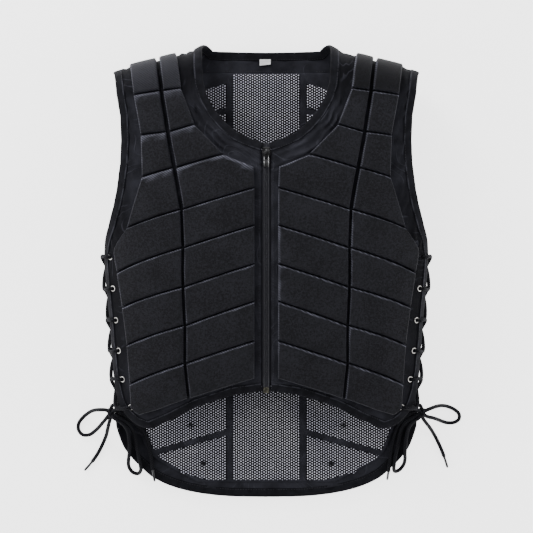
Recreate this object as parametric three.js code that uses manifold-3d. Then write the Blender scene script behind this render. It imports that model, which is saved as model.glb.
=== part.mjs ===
// A rider's body protector: a sleeveless vest of foam blocks on two cloth panels, closed by a front zip
// and laced at both sides. It lies on its back with the laces tied in bows. Millimetres, +Z up from the
// surface it lies on, +Y towards the neck, +X to the right seen from above; the origin is under its middle.
import * as THREE from "three";
import { mergeVertices } from "three/addons/utils/BufferGeometryUtils.js";
import Module from "manifold-3d";

const wasm = await Module();
wasm.setup();

// Driving sizes
const LENGTH = 622; // back hem to the top of the shoulders
const HALF_CHEST = 222; // middle to side at the armpit
const CREST = 104; // surface it lies on to the front shell at the chest
const FOAM = 11; // how far a block stands out of its shell
const SHELL = 3; // cloth shell
const LINING = 1.6; // lining inside the back
const CLEAR = 0.4; // gap between two pieces that touch
const BACK_CORNER = 50; // width over which the back turns up into the side
const SHOULDER_ROLL = 36; // how far below its top the shoulder starts to turn over
const SHOULDER_TOP = 0.4871 * LENGTH; // top of the shoulder beside the neck
const NECK_HALF = 104; // middle to where the shoulder starts
const SHOULDER_SLOPE = 0.25; // fall of the shoulder towards the arm
const NECK_RISE = 37; // how much later the back turns up behind the neck
const FRONT_ROUNDNESS = 2.6; // exponent of the front's cross-section
const BINDING_WIDTH = 8; // edge binding
const BINDING_THICKNESS = 5.2;
const ROLL_CLEAR = 1.2; // under the blocks that bend over the shoulder
const SEAM_GAP = 0.5; // front shell to back shell along the shoulder seam
const ROW_GAP = 2.6; // groove between two rows of blocks
const COLUMN_GAP = 4.6; // channel between two columns of blocks
const BLOCK_BEVEL = 3.6; // rounded edge of a block
const BLOCK_RIM = 0.5; // height of a block's rim as a share of FOAM
const SHOULDER_THIN = 0.6; // share of its thickness that a block loses up to the shoulder seam
const EYELET_INSET = 6.5; // shell edge to the middle of an eyelet
const EYELET_HOLE = 3.5; // radius of the hole in the shell
const LACE = 3.8; // diameter of the lace
const KNOT = [6, 7.5, 6]; // half sizes of a bow's knot

// Zip
const TOOTH_HALF = 3.2; // half the width of the closed teeth
const TOOTH_TOP = 0.4; // teeth above the shell's face
const ZIP_EDGE = 6.5; // middle to the shell's edge along the zip
const TAPE_HALF = 15;
const TAPE = 1.2;
const ZIP_TOP = 0.2836 * LENGTH;
const ZIP_BOTTOM = -0.267 * LENGTH;
const SLIDER_Y = 0.26206 * LENGTH;
const SLIDER_LENGTH = 13.5;
const SLIDER_WIDTH = 11.4;
const SLIDER_PLATE = 1.4;
const WEDGE_HALF = 1.8;
const BRIDGE_WIDTH = 2.6;
const BRIDGE_POST = 1.6;
const BRIDGE_SPAN = 5.2; // between the two posts
const PULL_WIDTH = 7.4;
const PULL_LENGTH = 20.5;
const PULL_THICKNESS = 1.5;
const PULL_TILT = 4; // degrees, so that its end hangs towards the teeth
const STOP_LENGTH = 8; // metal box at the zip's lower end
const STOP_HALF = 4.4;

// Label
const LABEL = { x: -1.6, width: 15.3, height: 8, thickness: 0.6, below_edge: 0.8 };

const BLOCK_FLAT = 0.2; // bend that a block's facets leave out
const SHELL_FLAT = 0.12; // the same for a shell

const FRONT = 1;
const BACK = -1;
const RIGHT = 1;
const LEFT = -1;

// The body's form. along is a share of LENGTH from its middle, width a share of HALF_CHEST,
// crown and side are heights of the front's middle and of the side line as shares of CREST.
const STATIONS = [
  { along: -0.5, width: 0.965, crown: 0.64, side: 0.2 },
  { along: -0.35, width: 0.952, crown: 0.78, side: 0.38 },
  { along: -0.26, width: 0.948, crown: 0.88, side: 0.49 },
  { along: -0.16, width: 0.958, crown: 0.945, side: 0.54 },
  { along: 0, width: 0.997, crown: 0.995, side: 0.555 },
  { along: 0.06, width: 1.005, crown: 1, side: 0.555 },
  { along: 0.18, width: 1.035, crown: 0.99, side: 0.54 },
  { along: 0.29, width: 1.085, crown: 0.955, side: 0.52 },
  { along: 0.4, width: 1.14, crown: 0.9, side: 0.5 },
  { along: 0.5, width: 1.2, crown: 0.86, side: 0.48 },
];

// Outer edges of the two shells, from hem corner to shoulder tip: side, armhole. Shares as above.
const FRONT_EDGE = [
  { along: -0.3265, across: 0.793 },
  { along: -0.311, across: 0.842 },
  { along: -0.291, across: 0.883 },
  { along: -0.26, across: 0.907 },
  { along: -0.22, across: 0.926 },
  { along: -0.16, across: 0.942 },
  { along: -0.08, across: 0.96 },
  { along: 0, across: 0.981 },
  { along: 0.035, across: 0.986 },
  { along: 0.064, across: 0.976 },
  { along: 0.097, across: 0.947 },
  { along: 0.14, across: 0.913 },
  { along: 0.178, across: 0.89 },
  { along: 0.24, across: 0.866 },
  { along: 0.29, across: 0.86 },
  { along: 0.345, across: 0.866 },
  { along: 0.395, across: 0.89 },
  { along: 0.5, across: 0.917 },
];
const BACK_EDGE = [
  { along: -0.4165, across: 0.797 },
  { along: -0.386, across: 0.865 },
  { along: -0.341, across: 0.914 },
  { along: -0.3, across: 0.926 },
  { along: -0.22, across: 0.933 },
  { along: -0.16, across: 0.941 },
  { along: -0.08, across: 0.958 },
  { along: 0, across: 0.979 },
  { along: 0.035, across: 0.985 },
  { along: 0.064, across: 0.98 },
  { along: 0.097, across: 0.962 },
  { along: 0.14, across: 0.93 },
  { along: 0.178, across: 0.905 },
  { along: 0.24, across: 0.874 },
  { along: 0.29, across: 0.866 },
  { along: 0.345, across: 0.868 },
  { along: 0.395, across: 0.89 },
  { along: 0.5, across: 0.917 },
];
// Hems, from the middle outwards to the hem corner.
const FRONT_HEM = [
  { along: -0.2492, across: 0.031 },
  { along: -0.2588, across: 0.216 },
  { along: -0.2854, across: 0.441 },
  { along: -0.315, across: 0.604 },
  { along: -0.3345, across: 0.728 },
  { along: -0.3265, across: 0.793 },
];
const BACK_HEM = [
  { along: -0.492, across: 0 },
  { along: -0.489, across: 0.284 },
  { along: -0.4755, across: 0.518 },
  { along: -0.4515, across: 0.685 },
  { along: -0.4165, across: 0.797 },
];
// Neck edges: the front's from the zip up to the shoulder, the back's from the middle out to the shoulder.
const FRONT_NECK = [
  { along: 0.2701, across: 0.0293 },
  { along: 0.281, across: 0.117 },
  { along: 0.294, across: 0.2 },
  { along: 0.317, across: 0.275 },
  { along: 0.346, across: 0.345 },
  { along: 0.381, across: 0.4 },
  { along: 0.414, across: 0.428 },
  { along: 0.45, across: 0.436 },
  { along: 0.5, across: 0.432 },
];
const BACK_NECK = [
  { along: 0.4775, across: 0 },
  { along: 0.4785, across: 0.18 },
  { along: 0.4805, across: 0.3 },
  { along: 0.483, across: 0.36 },
  { along: 0.5, across: 0.432 },
];

// Seams between the front's rows of blocks, from the shoulder down. Each is a line over three places:
// its inner end beside neck or zip, the channel between the two columns, and its outer end.
const FRONT_SEAMS = [
  { inner: 0.558, inner_along: 0.5, channel: 0.676, channel_along: 0.5, outer: 0.85, outer_along: 0.5 },
  { inner: 0.525, inner_along: 0.4035, channel: 0.644, channel_along: 0.398, outer: 0.815, outer_along: 0.389 },
  { inner: 0.441, inner_along: 0.323, channel: 0.604, channel_along: 0.307, outer: 0.77, outer_along: 0.3 },
  { inner: 0.266, inner_along: 0.258, channel: 0.563, channel_along: 0.228, outer: 0.761, outer_along: 0.208 },
  { inner: 0.072, inner_along: 0.1845, channel: 0.518, channel_along: 0.137, outer: 0.85, outer_along: 0.096 },
  { inner: 0.072, inner_along: 0.1025, channel: 0.509, channel_along: 0.053, outer: 0.908, outer_along: -0.002 },
  { inner: 0.072, inner_along: 0.018, channel: 0.509, channel_along: -0.033, outer: 0.878, outer_along: -0.078 },
  { inner: 0.072, inner_along: -0.064, channel: 0.498, channel_along: -0.117, outer: 0.851, outer_along: -0.1615 },
  { inner: 0.072, inner_along: -0.1505, channel: 0.498, channel_along: -0.2, outer: 0.836, outer_along: -0.247 },
  { inner: 0.072, inner_along: -0.2345, channel: 0.477, channel_along: -0.279, outer: 0.829, outer_along: -0.299 },
];
// Extra corners of three blocks: beside the neck, below the armhole, and at the hem corner.
const NECK_CORNER = { row: 3, across: 0.0785, along: 0.231 };
const ARMPIT_CORNER = { row: 4, across: 0.93, along: 0.047 };
const HEM_CORNERS = [
  { across: 0.676, along: -0.305 },
  { across: 0.784, along: -0.3165 },
];
const LAST_ROW = 8;

// The back's quilting: the seams' heights beside the middle column, and the outer edge of the blocks.
const BACK_SEAMS = [0.364, 0.2733, 0.1833, 0.0932, 0.0032, -0.0868, -0.1768, -0.2667, -0.3585];
const BACK_SEAM_SLOPE = 0.28;
const MIDDLE_SEAMS = [2, 4, 6]; // those that cross the middle column too
const MIDDLE_HALF = 0.23; // half the middle column's width, to the middle of its channel
const BACK_BLOCK_TOP = 0.424;
const BACK_BLOCK_BOTTOM = [
  { across: 0, along: -0.4555 },
  { across: 0.37, along: -0.4555 },
  { across: 0.52, along: -0.441 },
];
const BACK_BLOCK_EDGE = [
  { along: -0.441, across: 0.52 },
  { along: -0.4, across: 0.676 },
  { along: -0.353, across: 0.745 },
  { along: -0.3, across: 0.81 },
  { along: -0.24, across: 0.835 },
  { along: -0.16, across: 0.853 },
  { along: -0.08, across: 0.872 },
  { along: 0, across: 0.89 },
  { along: 0.05, across: 0.87 },
  { along: 0.096, across: 0.82 },
  { along: 0.16, across: 0.77 },
  { along: 0.22, across: 0.757 },
  { along: 0.3, across: 0.762 },
  { along: 0.36, across: 0.785 },
  { along: 0.424, across: 0.81 },
];
const LINING_MARGIN = 6; // lining beyond the back's blocks
const LINING_FLARE = 5; // as much again beside the hem
const FLARE_FROM = -0.2;
const FLARE_TO = -0.3;
const LINING_FOOT = { along: -0.4715, across: 0.43 };
const LINING_HEAD = { along: 0.4455, across: 0.38 };

// Eyelets, from the armpit down
const EYELETS = [0.0326, -0.0373, -0.1072, -0.1748, -0.238, -0.3];

// Bows. KNOT_AT is a share of LENGTH along the side; each strand is a list of points chosen by hand.
const KNOT_AT = -0.3135;
const KNOT_OUT = 5; // beyond the side line
const KNOT_HEIGHT = 40;
const STRANDS = {
  bow_loop_out_left: [
    [-222.3, -191.8, 41], [-229.6, -191.6, 37.5], [-237.5, -192.4, 29], [-244, -194.6, 18], [-250, -198.5, 8],
    [-257, -204.5, 2.6], [-262.6, -212.5, 2.1], [-262.8, -221.5, 2.1], [-256.8, -228.4, 2.1],
    [-247.5, -228.2, 2.6], [-239.6, -222.8, 8], [-233.6, -217, 18], [-228, -210.6, 29], [-221.6, -203, 37],
  ],
  bow_tail_out_left: [
    [-216.4, -202.6, 38], [-219, -212, 31], [-221.3, -220.5, 21], [-223.8, -229, 9.5], [-227.6, -238, 2.8],
    [-232.6, -248.6, 2.1], [-239, -259.4, 2.1], [-246.6, -269.4, 2.1], [-254.6, -278.4, 2.1],
  ],
  bow_loop_down_left: [
    [-211.4, -202.6, 44], [-204.6, -206.8, 42], [-197.4, -213.4, 36.5], [-192.6, -222.6, 30.5],
    [-190.6, -234, 27.6], [-190.4, -246, 25], [-191.4, -256, 20], [-192.6, -265, 12], [-192.2, -273, 5],
    [-187.4, -280.4, 2.3], [-180.4, -282.8, 2.6], [-175.6, -278.2, 10.4], [-175.4, -270.6, 19.3], [-177, -262.6, 19.9],
    [-178.8, -253, 20.6], [-181, -243, 21.6], [-182.8, -233.6, 22.4], [-185.6, -222.6, 25.4],
    [-190.4, -213.4, 31.6], [-197.4, -206.2, 38.6], [-206, -200.4, 43.6],
  ],
  bow_tail_down_left: [
    [-208.9, -192.6, 39.5], [-203, -195, 39], [-196.6, -199.8, 34.5], [-190, -205.6, 29.5],
    [-181.6, -213.6, 23], [-172.8, -221.6, 20], [-167, -232, 18.6], [-163.4, -244, 17.4], [-161, -257, 17.2],
    [-159.2, -270, 17.6], [-157.4, -282, 18.8], [-155.8, -292.6, 15.6],
  ],
  bow_loop_out_right: [
    [222.2, -192, 41], [229.6, -189.2, 37.5], [238, -187, 29], [246, -186.8, 18], [254, -188.6, 8],
    [263, -192.8, 2.6], [269.6, -199, 2.1], [269.6, -206.4, 2.1], [263, -211, 2.1], [254, -211.6, 2.6],
    [246.5, -209.4, 8], [239.6, -206.4, 18], [232, -203.4, 29], [222.4, -200.6, 37],
  ],
  bow_tail_out_right: [
    [216.9, -202.4, 38], [221.6, -209.4, 31], [226.6, -215.6, 21], [231.6, -222.6, 9.5], [237, -231.8, 2.8],
    [242, -242, 2.1], [246.6, -252.6, 2.1], [250.4, -263.4, 2.1], [253.8, -274.4, 2.1],
  ],
  bow_loop_down_right: [
    [211.4, -202.6, 44], [204.8, -207.2, 42], [199.2, -214.4, 36.4], [196.2, -223, 31.4],
    [194.4, -234, 29], [193.4, -245, 26.6], [193.2, -254, 21], [193.6, -262, 13.6], [192, -270, 5.4],
    [186.6, -277.2, 2.3], [181, -279.6, 4], [178.2, -276.4, 11.8], [178.3, -269, 19.4], [179, -263, 19.4],
    [180, -256.6, 20.6], [182.6, -246, 22.8], [184.6, -234, 23.2], [187.2, -223, 25.6],
    [191, -213.6, 31.6], [197.6, -206.2, 38.6], [206, -200.4, 43.6],
  ],
  bow_tail_down_right: [
    [208.9, -192.6, 39.5], [203, -195, 39], [196.6, -199.8, 34.5], [190.6, -206, 29.4], [184.6, -214.6, 24],
    [180, -225.4, 21], [177, -237, 19.8], [174.6, -249, 19.6], [172.8, -261, 18], [171.4, -270, 18.4],
    [170.6, -277.6, 17.2], [169.8, -284.6, 12], [169.2, -291, 6.4],
  ],
};
const STRAND_STEP = 13; // length of one straight stretch of a strand's solid
const STRAND_SIDES = 8;

const COLOURS = {
  shell: { color: 0x1b1b1e, roughness: 0.85 },
  block: { color: 0x222226, roughness: 0.8 },
  lining: { color: 0x55555c, roughness: 0.9 },
  binding: { color: 0x1a1a1d, roughness: 0.75 },
  tape: { color: 0x1a1a1c, roughness: 0.85 },
  teeth: { color: 0x202022, roughness: 0.5 },
  metal: { color: 0x3a3a3c, roughness: 0.35, metalness: 0.9 },
  label: { color: 0xe9e9ee, roughness: 0.7 },
  lace: { color: 0x202023, roughness: 0.8 },
};

// Value of a table's column at a place along it, smooth between its rows.
function smooth(table, column, along) {
  const last = table.length - 1;
  if (along <= table[0].along) return table[0][column];
  if (along >= table[last].along) return table[last][column];
  const i = table.findIndex((row) => row.along > along) - 1;
  const slope = (j) => {
    const low = table[Math.max(j - 1, 0)];
    const high = table[Math.min(j + 1, last)];
    return (high[column] - low[column]) / (high.along - low.along);
  };
  const span = table[i + 1].along - table[i].along;
  const t = (along - table[i].along) / span;
  const rise = t * t * (3 - 2 * t);
  return (
    table[i][column] * (1 - rise) +
    table[i + 1][column] * rise +
    span * (slope(i) * t * (1 - t) ** 2 - slope(i + 1) * t * t * (1 - t))
  );
}

const halfWidth = (y) => HALF_CHEST * smooth(STATIONS, "width", y / LENGTH);
const sideHeight = (y) => CREST * smooth(STATIONS, "side", y / LENGTH);
const crownHeight = (y) => CREST * smooth(STATIONS, "crown", y / LENGTH);

// Height of a shell's outer face over a place on the flat plan, leaving the shoulder's roll out.
function sectionHeight(face, x, y) {
  const half = halfWidth(y);
  const side = sideHeight(y);
  const out = Math.min(Math.abs(x) / half, 1);
  if (face === FRONT) {
    return side + (crownHeight(y) - side) * (1 - out ** FRONT_ROUNDNESS) ** (1 / FRONT_ROUNDNESS);
  }
  const turn = Math.min(Math.max(1 - (half - Math.abs(x)) / BACK_CORNER, 0), 1);
  return FOAM + (side - FOAM) * (1 - Math.sqrt(1 - turn * turn));
}

function shoulderTop(x) {
  const out = Math.abs(x);
  if (out > NECK_HALF) return SHOULDER_TOP - SHOULDER_SLOPE * (out - NECK_HALF);
  return SHOULDER_TOP + NECK_RISE * (1 - (out / NECK_HALF) ** 2);
}

// A place on a shell is [across, along]: an angle round the cross-section, and millimetres of travel
// up the shell, which go on over the shoulder.
function toSurface(x, y) {
  const start = shoulderTop(x) - SHOULDER_ROLL;
  const turn = Math.min(Math.asin(Math.min(Math.max((y - start) / SHOULDER_ROLL, 0), 1)), rollEnd());
  const along = y > start ? start + SHOULDER_ROLL * turn : y;
  return [Math.asin(x / halfWidth(along)), along];
}

function rollEnd() {
  return Math.PI / 2 - SEAM_GAP / 2 / SHOULDER_ROLL;
}

function surfacePoint(face, [across, along]) {
  const x = halfWidth(along) * Math.sin(across);
  const start = shoulderTop(x) - SHOULDER_ROLL;
  if (along <= start) return new THREE.Vector3(x, along, sectionHeight(face, x, along));
  const turn = (along - start) / SHOULDER_ROLL;
  const level = sectionHeight(face, x, start);
  const middle = (level + sectionHeight(-face, x, start)) / 2;
  const y = start + SHOULDER_ROLL * Math.sin(turn);
  return new THREE.Vector3(x, y, middle + (level - middle) * Math.cos(turn));
}

const STEP = 1e-3;
function acrossTangent(face, [across, along]) {
  const low = surfacePoint(face, [across - STEP, along]);
  return surfacePoint(face, [across + STEP, along]).sub(low).divideScalar(2 * STEP);
}

function outwardNormal(face, at) {
  const [across, along] = at;
  const low = surfacePoint(face, [across, along - STEP]);
  const up = surfacePoint(face, [across, along + STEP]).sub(low);
  return acrossTangent(face, at).cross(up).normalize().multiplyScalar(face);
}

// The point at a distance outside (or, negative, inside) a shell's outer face.
function offsetPoint(face, at, distance) {
  return surfacePoint(face, at).addScaledVector(outwardNormal(face, at), distance);
}

// A table of an edge as surface places, mirrored for the left.
function edgePlaces(table, side) {
  return table.map((row) => toSurface(side * row.across * HALF_CHEST, row.along * LENGTH));
}

// A place a share t of the way along a list of places. The way is measured by length, by travel up
// the shell, or by the count of the places.
const BY_LENGTH = Math.hypot;
const BY_HEIGHT = (sweep, rise) => Math.abs(rise);
const BY_COUNT = () => 1;
function placeOn(places, t, measure = BY_LENGTH) {
  const lengths = [0];
  places.slice(1).forEach(([across, along], i) => {
    lengths.push(lengths[i] + measure((across - places[i][0]) * HALF_CHEST, along - places[i][1]));
  });
  const goal = t * lengths[lengths.length - 1];
  const i = Math.min(Math.max(lengths.findIndex((length) => length >= goal - 1e-9), 1), places.length - 1);
  const part = (goal - lengths[i - 1]) / Math.max(lengths[i] - lengths[i - 1], 1e-9);
  return [0, 1].map((k) => places[i - 1][k] + (places[i][k] - places[i - 1][k]) * part);
}

// Grid of places that fills the four edges of a patch, each a list of places.
function patchGrid(bottom, top, inner, outer, us, vs, [ends, sides] = [BY_LENGTH, BY_LENGTH]) {
  const mix = (a, b, t) => a + (b - a) * t;
  return vs.map((v) =>
    us.map((u) => {
      const [low, high] = [placeOn(bottom, u, ends), placeOn(top, u, ends)];
      const [near, far] = [placeOn(inner, v, sides), placeOn(outer, v, sides)];
      return [0, 1].map(
        (k) =>
          mix(low[k], high[k], v) +
          mix(near[k], far[k], u) -
          mix(mix(bottom[0][k], bottom.at(-1)[k], u), mix(top[0][k], top.at(-1)[k], u), v),
      );
    }),
  );
}

// Closed mesh from rings of points that all have the same count, with both ends capped.
function closedMesh(points, triangles) {
  const geometry = new THREE.BufferGeometry();
  geometry.setAttribute("position", new THREE.Float32BufferAttribute(points.flatMap((p) => p.toArray()), 3));
  const volume = triangles.reduce((sum, [a, b, c]) => {
    return sum + points[a].dot(new THREE.Vector3().crossVectors(points[b], points[c]));
  }, 0);
  const facing = triangles.map(([a, b, c]) => (volume > 0 ? [a, b, c] : [a, c, b]));
  geometry.setIndex(facing.flat());
  return geometry;
}

// Wall over a grid of places, between two offsets that may change over the grid.
function wall(face, grid, outerOffset, innerOffset) {
  const rows = grid.length;
  const columns = grid[0].length;
  const layer = (offset) => grid.flatMap((row, j) => row.map((at, i) => offsetPoint(face, at, offset(i, j))));
  const points = [...layer(outerOffset), ...layer(innerOffset)];
  const id = (i, j, inside) => j * columns + i + (inside ? rows * columns : 0);
  const triangles = [];
  const quad = (a, b, c, d) => triangles.push([a, b, c], [a, c, d]);
  for (let j = 0; j + 1 < rows; j += 1) {
    for (let i = 0; i + 1 < columns; i += 1) {
      quad(id(i, j), id(i + 1, j), id(i + 1, j + 1), id(i, j + 1));
      quad(id(i, j, true), id(i, j + 1, true), id(i + 1, j + 1, true), id(i + 1, j, true));
    }
    quad(id(0, j), id(0, j + 1), id(0, j + 1, true), id(0, j, true));
    quad(id(columns - 1, j), id(columns - 1, j, true), id(columns - 1, j + 1, true), id(columns - 1, j + 1));
  }
  for (let i = 0; i + 1 < columns; i += 1) {
    quad(id(i, 0), id(i, 0, true), id(i + 1, 0, true), id(i + 1, 0));
    quad(id(i, rows - 1), id(i + 1, rows - 1), id(i + 1, rows - 1, true), id(i, rows - 1, true));
  }
  return closedMesh(points, triangles);
}

const level = (offset) => () => offset;
const shares = (count) => Array.from({ length: count + 1 }, (_, i) => i / count);

// Booleans
function toSolid(geometry) {
  const bare = geometry.clone();
  bare.deleteAttribute("normal");
  bare.deleteAttribute("uv");
  const merged = mergeVertices(bare, 1e-3);
  return new wasm.Manifold(
    new wasm.Mesh({
      numProp: 3,
      vertProperties: merged.attributes.position.array,
      triVerts: new Uint32Array(merged.index.array),
    }),
  );
}

function toGeometry(solid) {
  const mesh = solid.getMesh();
  const geometry = new THREE.BufferGeometry();
  geometry.setAttribute("position", new THREE.BufferAttribute(new Float32Array(mesh.vertProperties), 3));
  geometry.setIndex(new THREE.BufferAttribute(mesh.triVerts, 1));
  return geometry;
}

const joined = (...geometries) => toGeometry(geometries.map(toSolid).reduce((all, next) => all.add(next)));

// Eyelets lie a fixed way in from the shell's edge.
function eyeletPlace(face, side, along) {
  const table = face === FRONT ? FRONT_EDGE : BACK_EDGE;
  const [across, height] = toSurface(side * smooth(table, "across", along) * HALF_CHEST, along * LENGTH);
  const reach = acrossTangent(face, [across, height]).length();
  return [across - (side * EYELET_INSET) / reach, height];
}

function withEyeletHoles(face, geometry, sides) {
  let solid = toSolid(geometry);
  for (const side of sides) {
    for (const along of EYELETS) {
      const at = eyeletPlace(face, side, along);
      const drill = new THREE.CylinderGeometry(EYELET_HOLE, EYELET_HOLE, 4 * SHELL, 6);
      const turn = new THREE.Quaternion();
      turn.setFromUnitVectors(new THREE.Vector3(0, 1, 0), outwardNormal(face, at));
      drill.applyQuaternion(turn);
      const middle = offsetPoint(face, at, -SHELL / 2);
      drill.translate(middle.x, middle.y, middle.z);
      solid = solid.subtract(toSolid(drill));
    }
  }
  return toGeometry(solid);
}

const withoutFlatEdges = (geometry, flat = 0.004) => toGeometry(toSolid(geometry).simplify(flat));

const material = (kind) => new THREE.MeshStandardMaterial(COLOURS[kind]);
function piece(name, geometry, kind) {
  const mesh = new THREE.Mesh(geometry, material(kind));
  mesh.name = name;
  return mesh;
}

// Shells
const SHELL_ROWS = [0, 0.026, 0.055, 0.1, 0.2, 0.32, 0.41, 0.46, 0.52, 0.6, 0.7, 0.79, 0.86, 0.91, 0.955, 1];
const NECK_CELLS = 6;
const SEAM_CELLS = 3;
const BACK_NECK_CELLS = 4;
const BACK_NECK_COLUMNS = [0, 0.5, 0.74, 0.9, 1];
const BACK_SEAM_CELLS = 5;
const resampled = (places, count) => shares(count).map((t) => placeOn(places, t));

function shoulderSeam(side, cells) {
  const tip = FRONT_EDGE.at(-1).across;
  const start = FRONT_NECK.at(-1).across;
  return shares(cells).map((t) => toSurface(side * (start + (tip - start) * t) * HALF_CHEST, LENGTH / 2));
}

// The front's columns of cells run from the hem to the neck edge or the shoulder seam.
function frontGrid(side) {
  const cells = NECK_CELLS + SEAM_CELLS;
  const bottom = resampled(edgePlaces(FRONT_HEM, side), cells);
  const neck = resampled(edgePlaces(FRONT_NECK, side), NECK_CELLS);
  const top = [...neck, ...shoulderSeam(side, SEAM_CELLS).slice(1)];
  const outer = edgePlaces(FRONT_EDGE, side);
  return patchGrid(bottom, top, [bottom[0], top[0]], outer, shares(cells), SHELL_ROWS, [BY_COUNT, BY_HEIGHT]);
}

// The back's cells are narrow where it turns up into the side.
const BACK_COLUMNS = [0, 0.24, 0.4, 0.52, 0.64, 0.74, 0.82, 0.89, 0.95, 1];
function backGrid() {
  const half = (side) => {
    const hem = edgePlaces(BACK_HEM, side);
    const bottom = BACK_COLUMNS.map((t) => placeOn(hem, t));
    const neckEdge = edgePlaces(BACK_NECK, side);
    const neck = BACK_NECK_COLUMNS.map((t) => placeOn(neckEdge, t));
    const top = [...neck, ...shoulderSeam(side, BACK_SEAM_CELLS).slice(1)];
    const edge = edgePlaces(BACK_EDGE, side);
    const cells = shares(BACK_NECK_CELLS + BACK_SEAM_CELLS);
    return patchGrid(bottom, top, [bottom[0], top[0]], edge, cells, SHELL_ROWS, [BY_COUNT, BY_HEIGHT]);
  };
  const [left, right] = [half(LEFT), half(RIGHT)];
  return left.map((row, j) => [...row.slice(1).reverse(), ...right[j]]);
}

const GRIDS = { [LEFT]: frontGrid(LEFT), [RIGHT]: frontGrid(RIGHT), back: backGrid() };
const shellWall = (face, grid) => withoutFlatEdges(wall(face, grid, level(0), level(-SHELL)), SHELL_FLAT);
const frontShell = (side) => withEyeletHoles(FRONT, shellWall(FRONT, GRIDS[side]), [side]);
const backShell = () => withEyeletHoles(BACK, shellWall(BACK, GRIDS.back), [LEFT, RIGHT]);

// Front blocks
function blockWall(face, edges, cellsAcross, cellsAlong, lift = 1.4 * CLEAR, thin = 0) {
  const { bottom, top, inner, outer } = edges;
  const size = (places) => {
    const points = shares(6).map((t) => surfacePoint(face, placeOn(places, t)));
    return points.slice(1).reduce((sum, p, i) => sum + p.distanceTo(points[i]), 0);
  };
  const steps = (length, cells) => {
    const bevel = BLOCK_BEVEL / length;
    return [0, ...shares(cells).map((t) => bevel + (1 - 2 * bevel) * t), 1];
  };
  const us = steps(Math.min(size(bottom), size(top)), cellsAcross);
  const vs = steps(Math.min(size(inner), size(outer)), cellsAlong);
  const grid = patchGrid(bottom, top, inner, outer, us, vs);
  const rim = (i, j) => i === 0 || j === 0 || i === us.length - 1 || j === vs.length - 1;
  const height = (i, j) => FOAM * (rim(i, j) ? BLOCK_RIM : 1) * (1 - thin * vs[j] ** 2);
  const block = wall(face, grid, height, level(lift));
  return withoutFlatEdges(block, BLOCK_FLAT);
}

// Corner of a block in the flat plan, moved off the seams by half a gap.
function blockCorner(side, across, along, inward, up) {
  return toSurface(side * (across * HALF_CHEST + inward), along * LENGTH + up);
}

function innerBlock(side, row) {
  const [top, bottom] = [FRONT_SEAMS[row], FRONT_SEAMS[row + 1]];
  const [gap, channel] = [ROW_GAP / 2, -COLUMN_GAP / 2];
  const topOuter = blockCorner(side, top.channel, top.channel_along, channel, -gap);
  const bottomOuter = blockCorner(side, bottom.channel, bottom.channel_along, channel, gap);
  const bottomInner = blockCorner(side, bottom.inner, bottom.inner_along, 0, gap);
  const topInner = blockCorner(side, top.inner, top.inner_along, 0, -gap);
  const upper = [topInner, topOuter];
  if (row === NECK_CORNER.row) upper.unshift(blockCorner(side, NECK_CORNER.across, NECK_CORNER.along, 0, -gap));
  const edges = {
    bottom: [bottomInner, bottomOuter],
    top: upper,
    inner: [bottomInner, upper[0]],
    outer: [bottomOuter, topOuter],
  };
  if (row === 0) return blockWall(FRONT, edges, 2, 4, ROLL_CLEAR, SHOULDER_THIN);
  return blockWall(FRONT, edges, row === NECK_CORNER.row ? 4 : 2, 1);
}

function outerBlock(side, row) {
  const [top, bottom] = [FRONT_SEAMS[row], FRONT_SEAMS[row + 1]];
  const [gap, channel] = [ROW_GAP / 2, COLUMN_GAP / 2];
  const topInner = blockCorner(side, top.channel, top.channel_along, channel, -gap);
  const topOuter = blockCorner(side, top.outer, top.outer_along, 0, -gap);
  const bottomInner = blockCorner(side, bottom.channel, bottom.channel_along, channel, gap);
  const bottomOuter = blockCorner(side, bottom.outer, bottom.outer_along, 0, gap);
  const lower = [bottomInner, bottomOuter];
  const outer = [bottomOuter, topOuter];
  if (row === ARMPIT_CORNER.row) {
    outer.splice(1, 0, blockCorner(side, ARMPIT_CORNER.across, ARMPIT_CORNER.along, 0, 0));
  }
  if (row === LAST_ROW) {
    lower.splice(1, 0, ...HEM_CORNERS.map((corner) => blockCorner(side, corner.across, corner.along, 0, gap)));
  }
  const edges = { bottom: lower, top: [topInner, topOuter], inner: [bottomInner, topInner], outer };
  if (row === 0) return blockWall(FRONT, edges, 3, 4, ROLL_CLEAR, SHOULDER_THIN);
  return blockWall(FRONT, edges, row > 3 ? 4 : 3, row === ARMPIT_CORNER.row ? 2 : 1);
}

// Back
function backBlockEdge(side, y) {
  return side * smooth(BACK_BLOCK_EDGE, "across", y / LENGTH) * HALF_CHEST;
}

// A line across the back's blocks: its own height in the middle column, falling outwards beyond it.
function backLine(height, side, share) {
  const channel = MIDDLE_HALF * HALF_CHEST;
  const y = (x) => height - BACK_SEAM_SLOPE * Math.max(Math.abs(x) - channel, 0);
  let edge = backBlockEdge(side, height);
  for (let round = 0; round < 8; round += 1) edge = backBlockEdge(side, y(edge));
  const x = side * (channel + (Math.abs(edge) - channel) * share);
  return toSurface(x, y(x));
}

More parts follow.
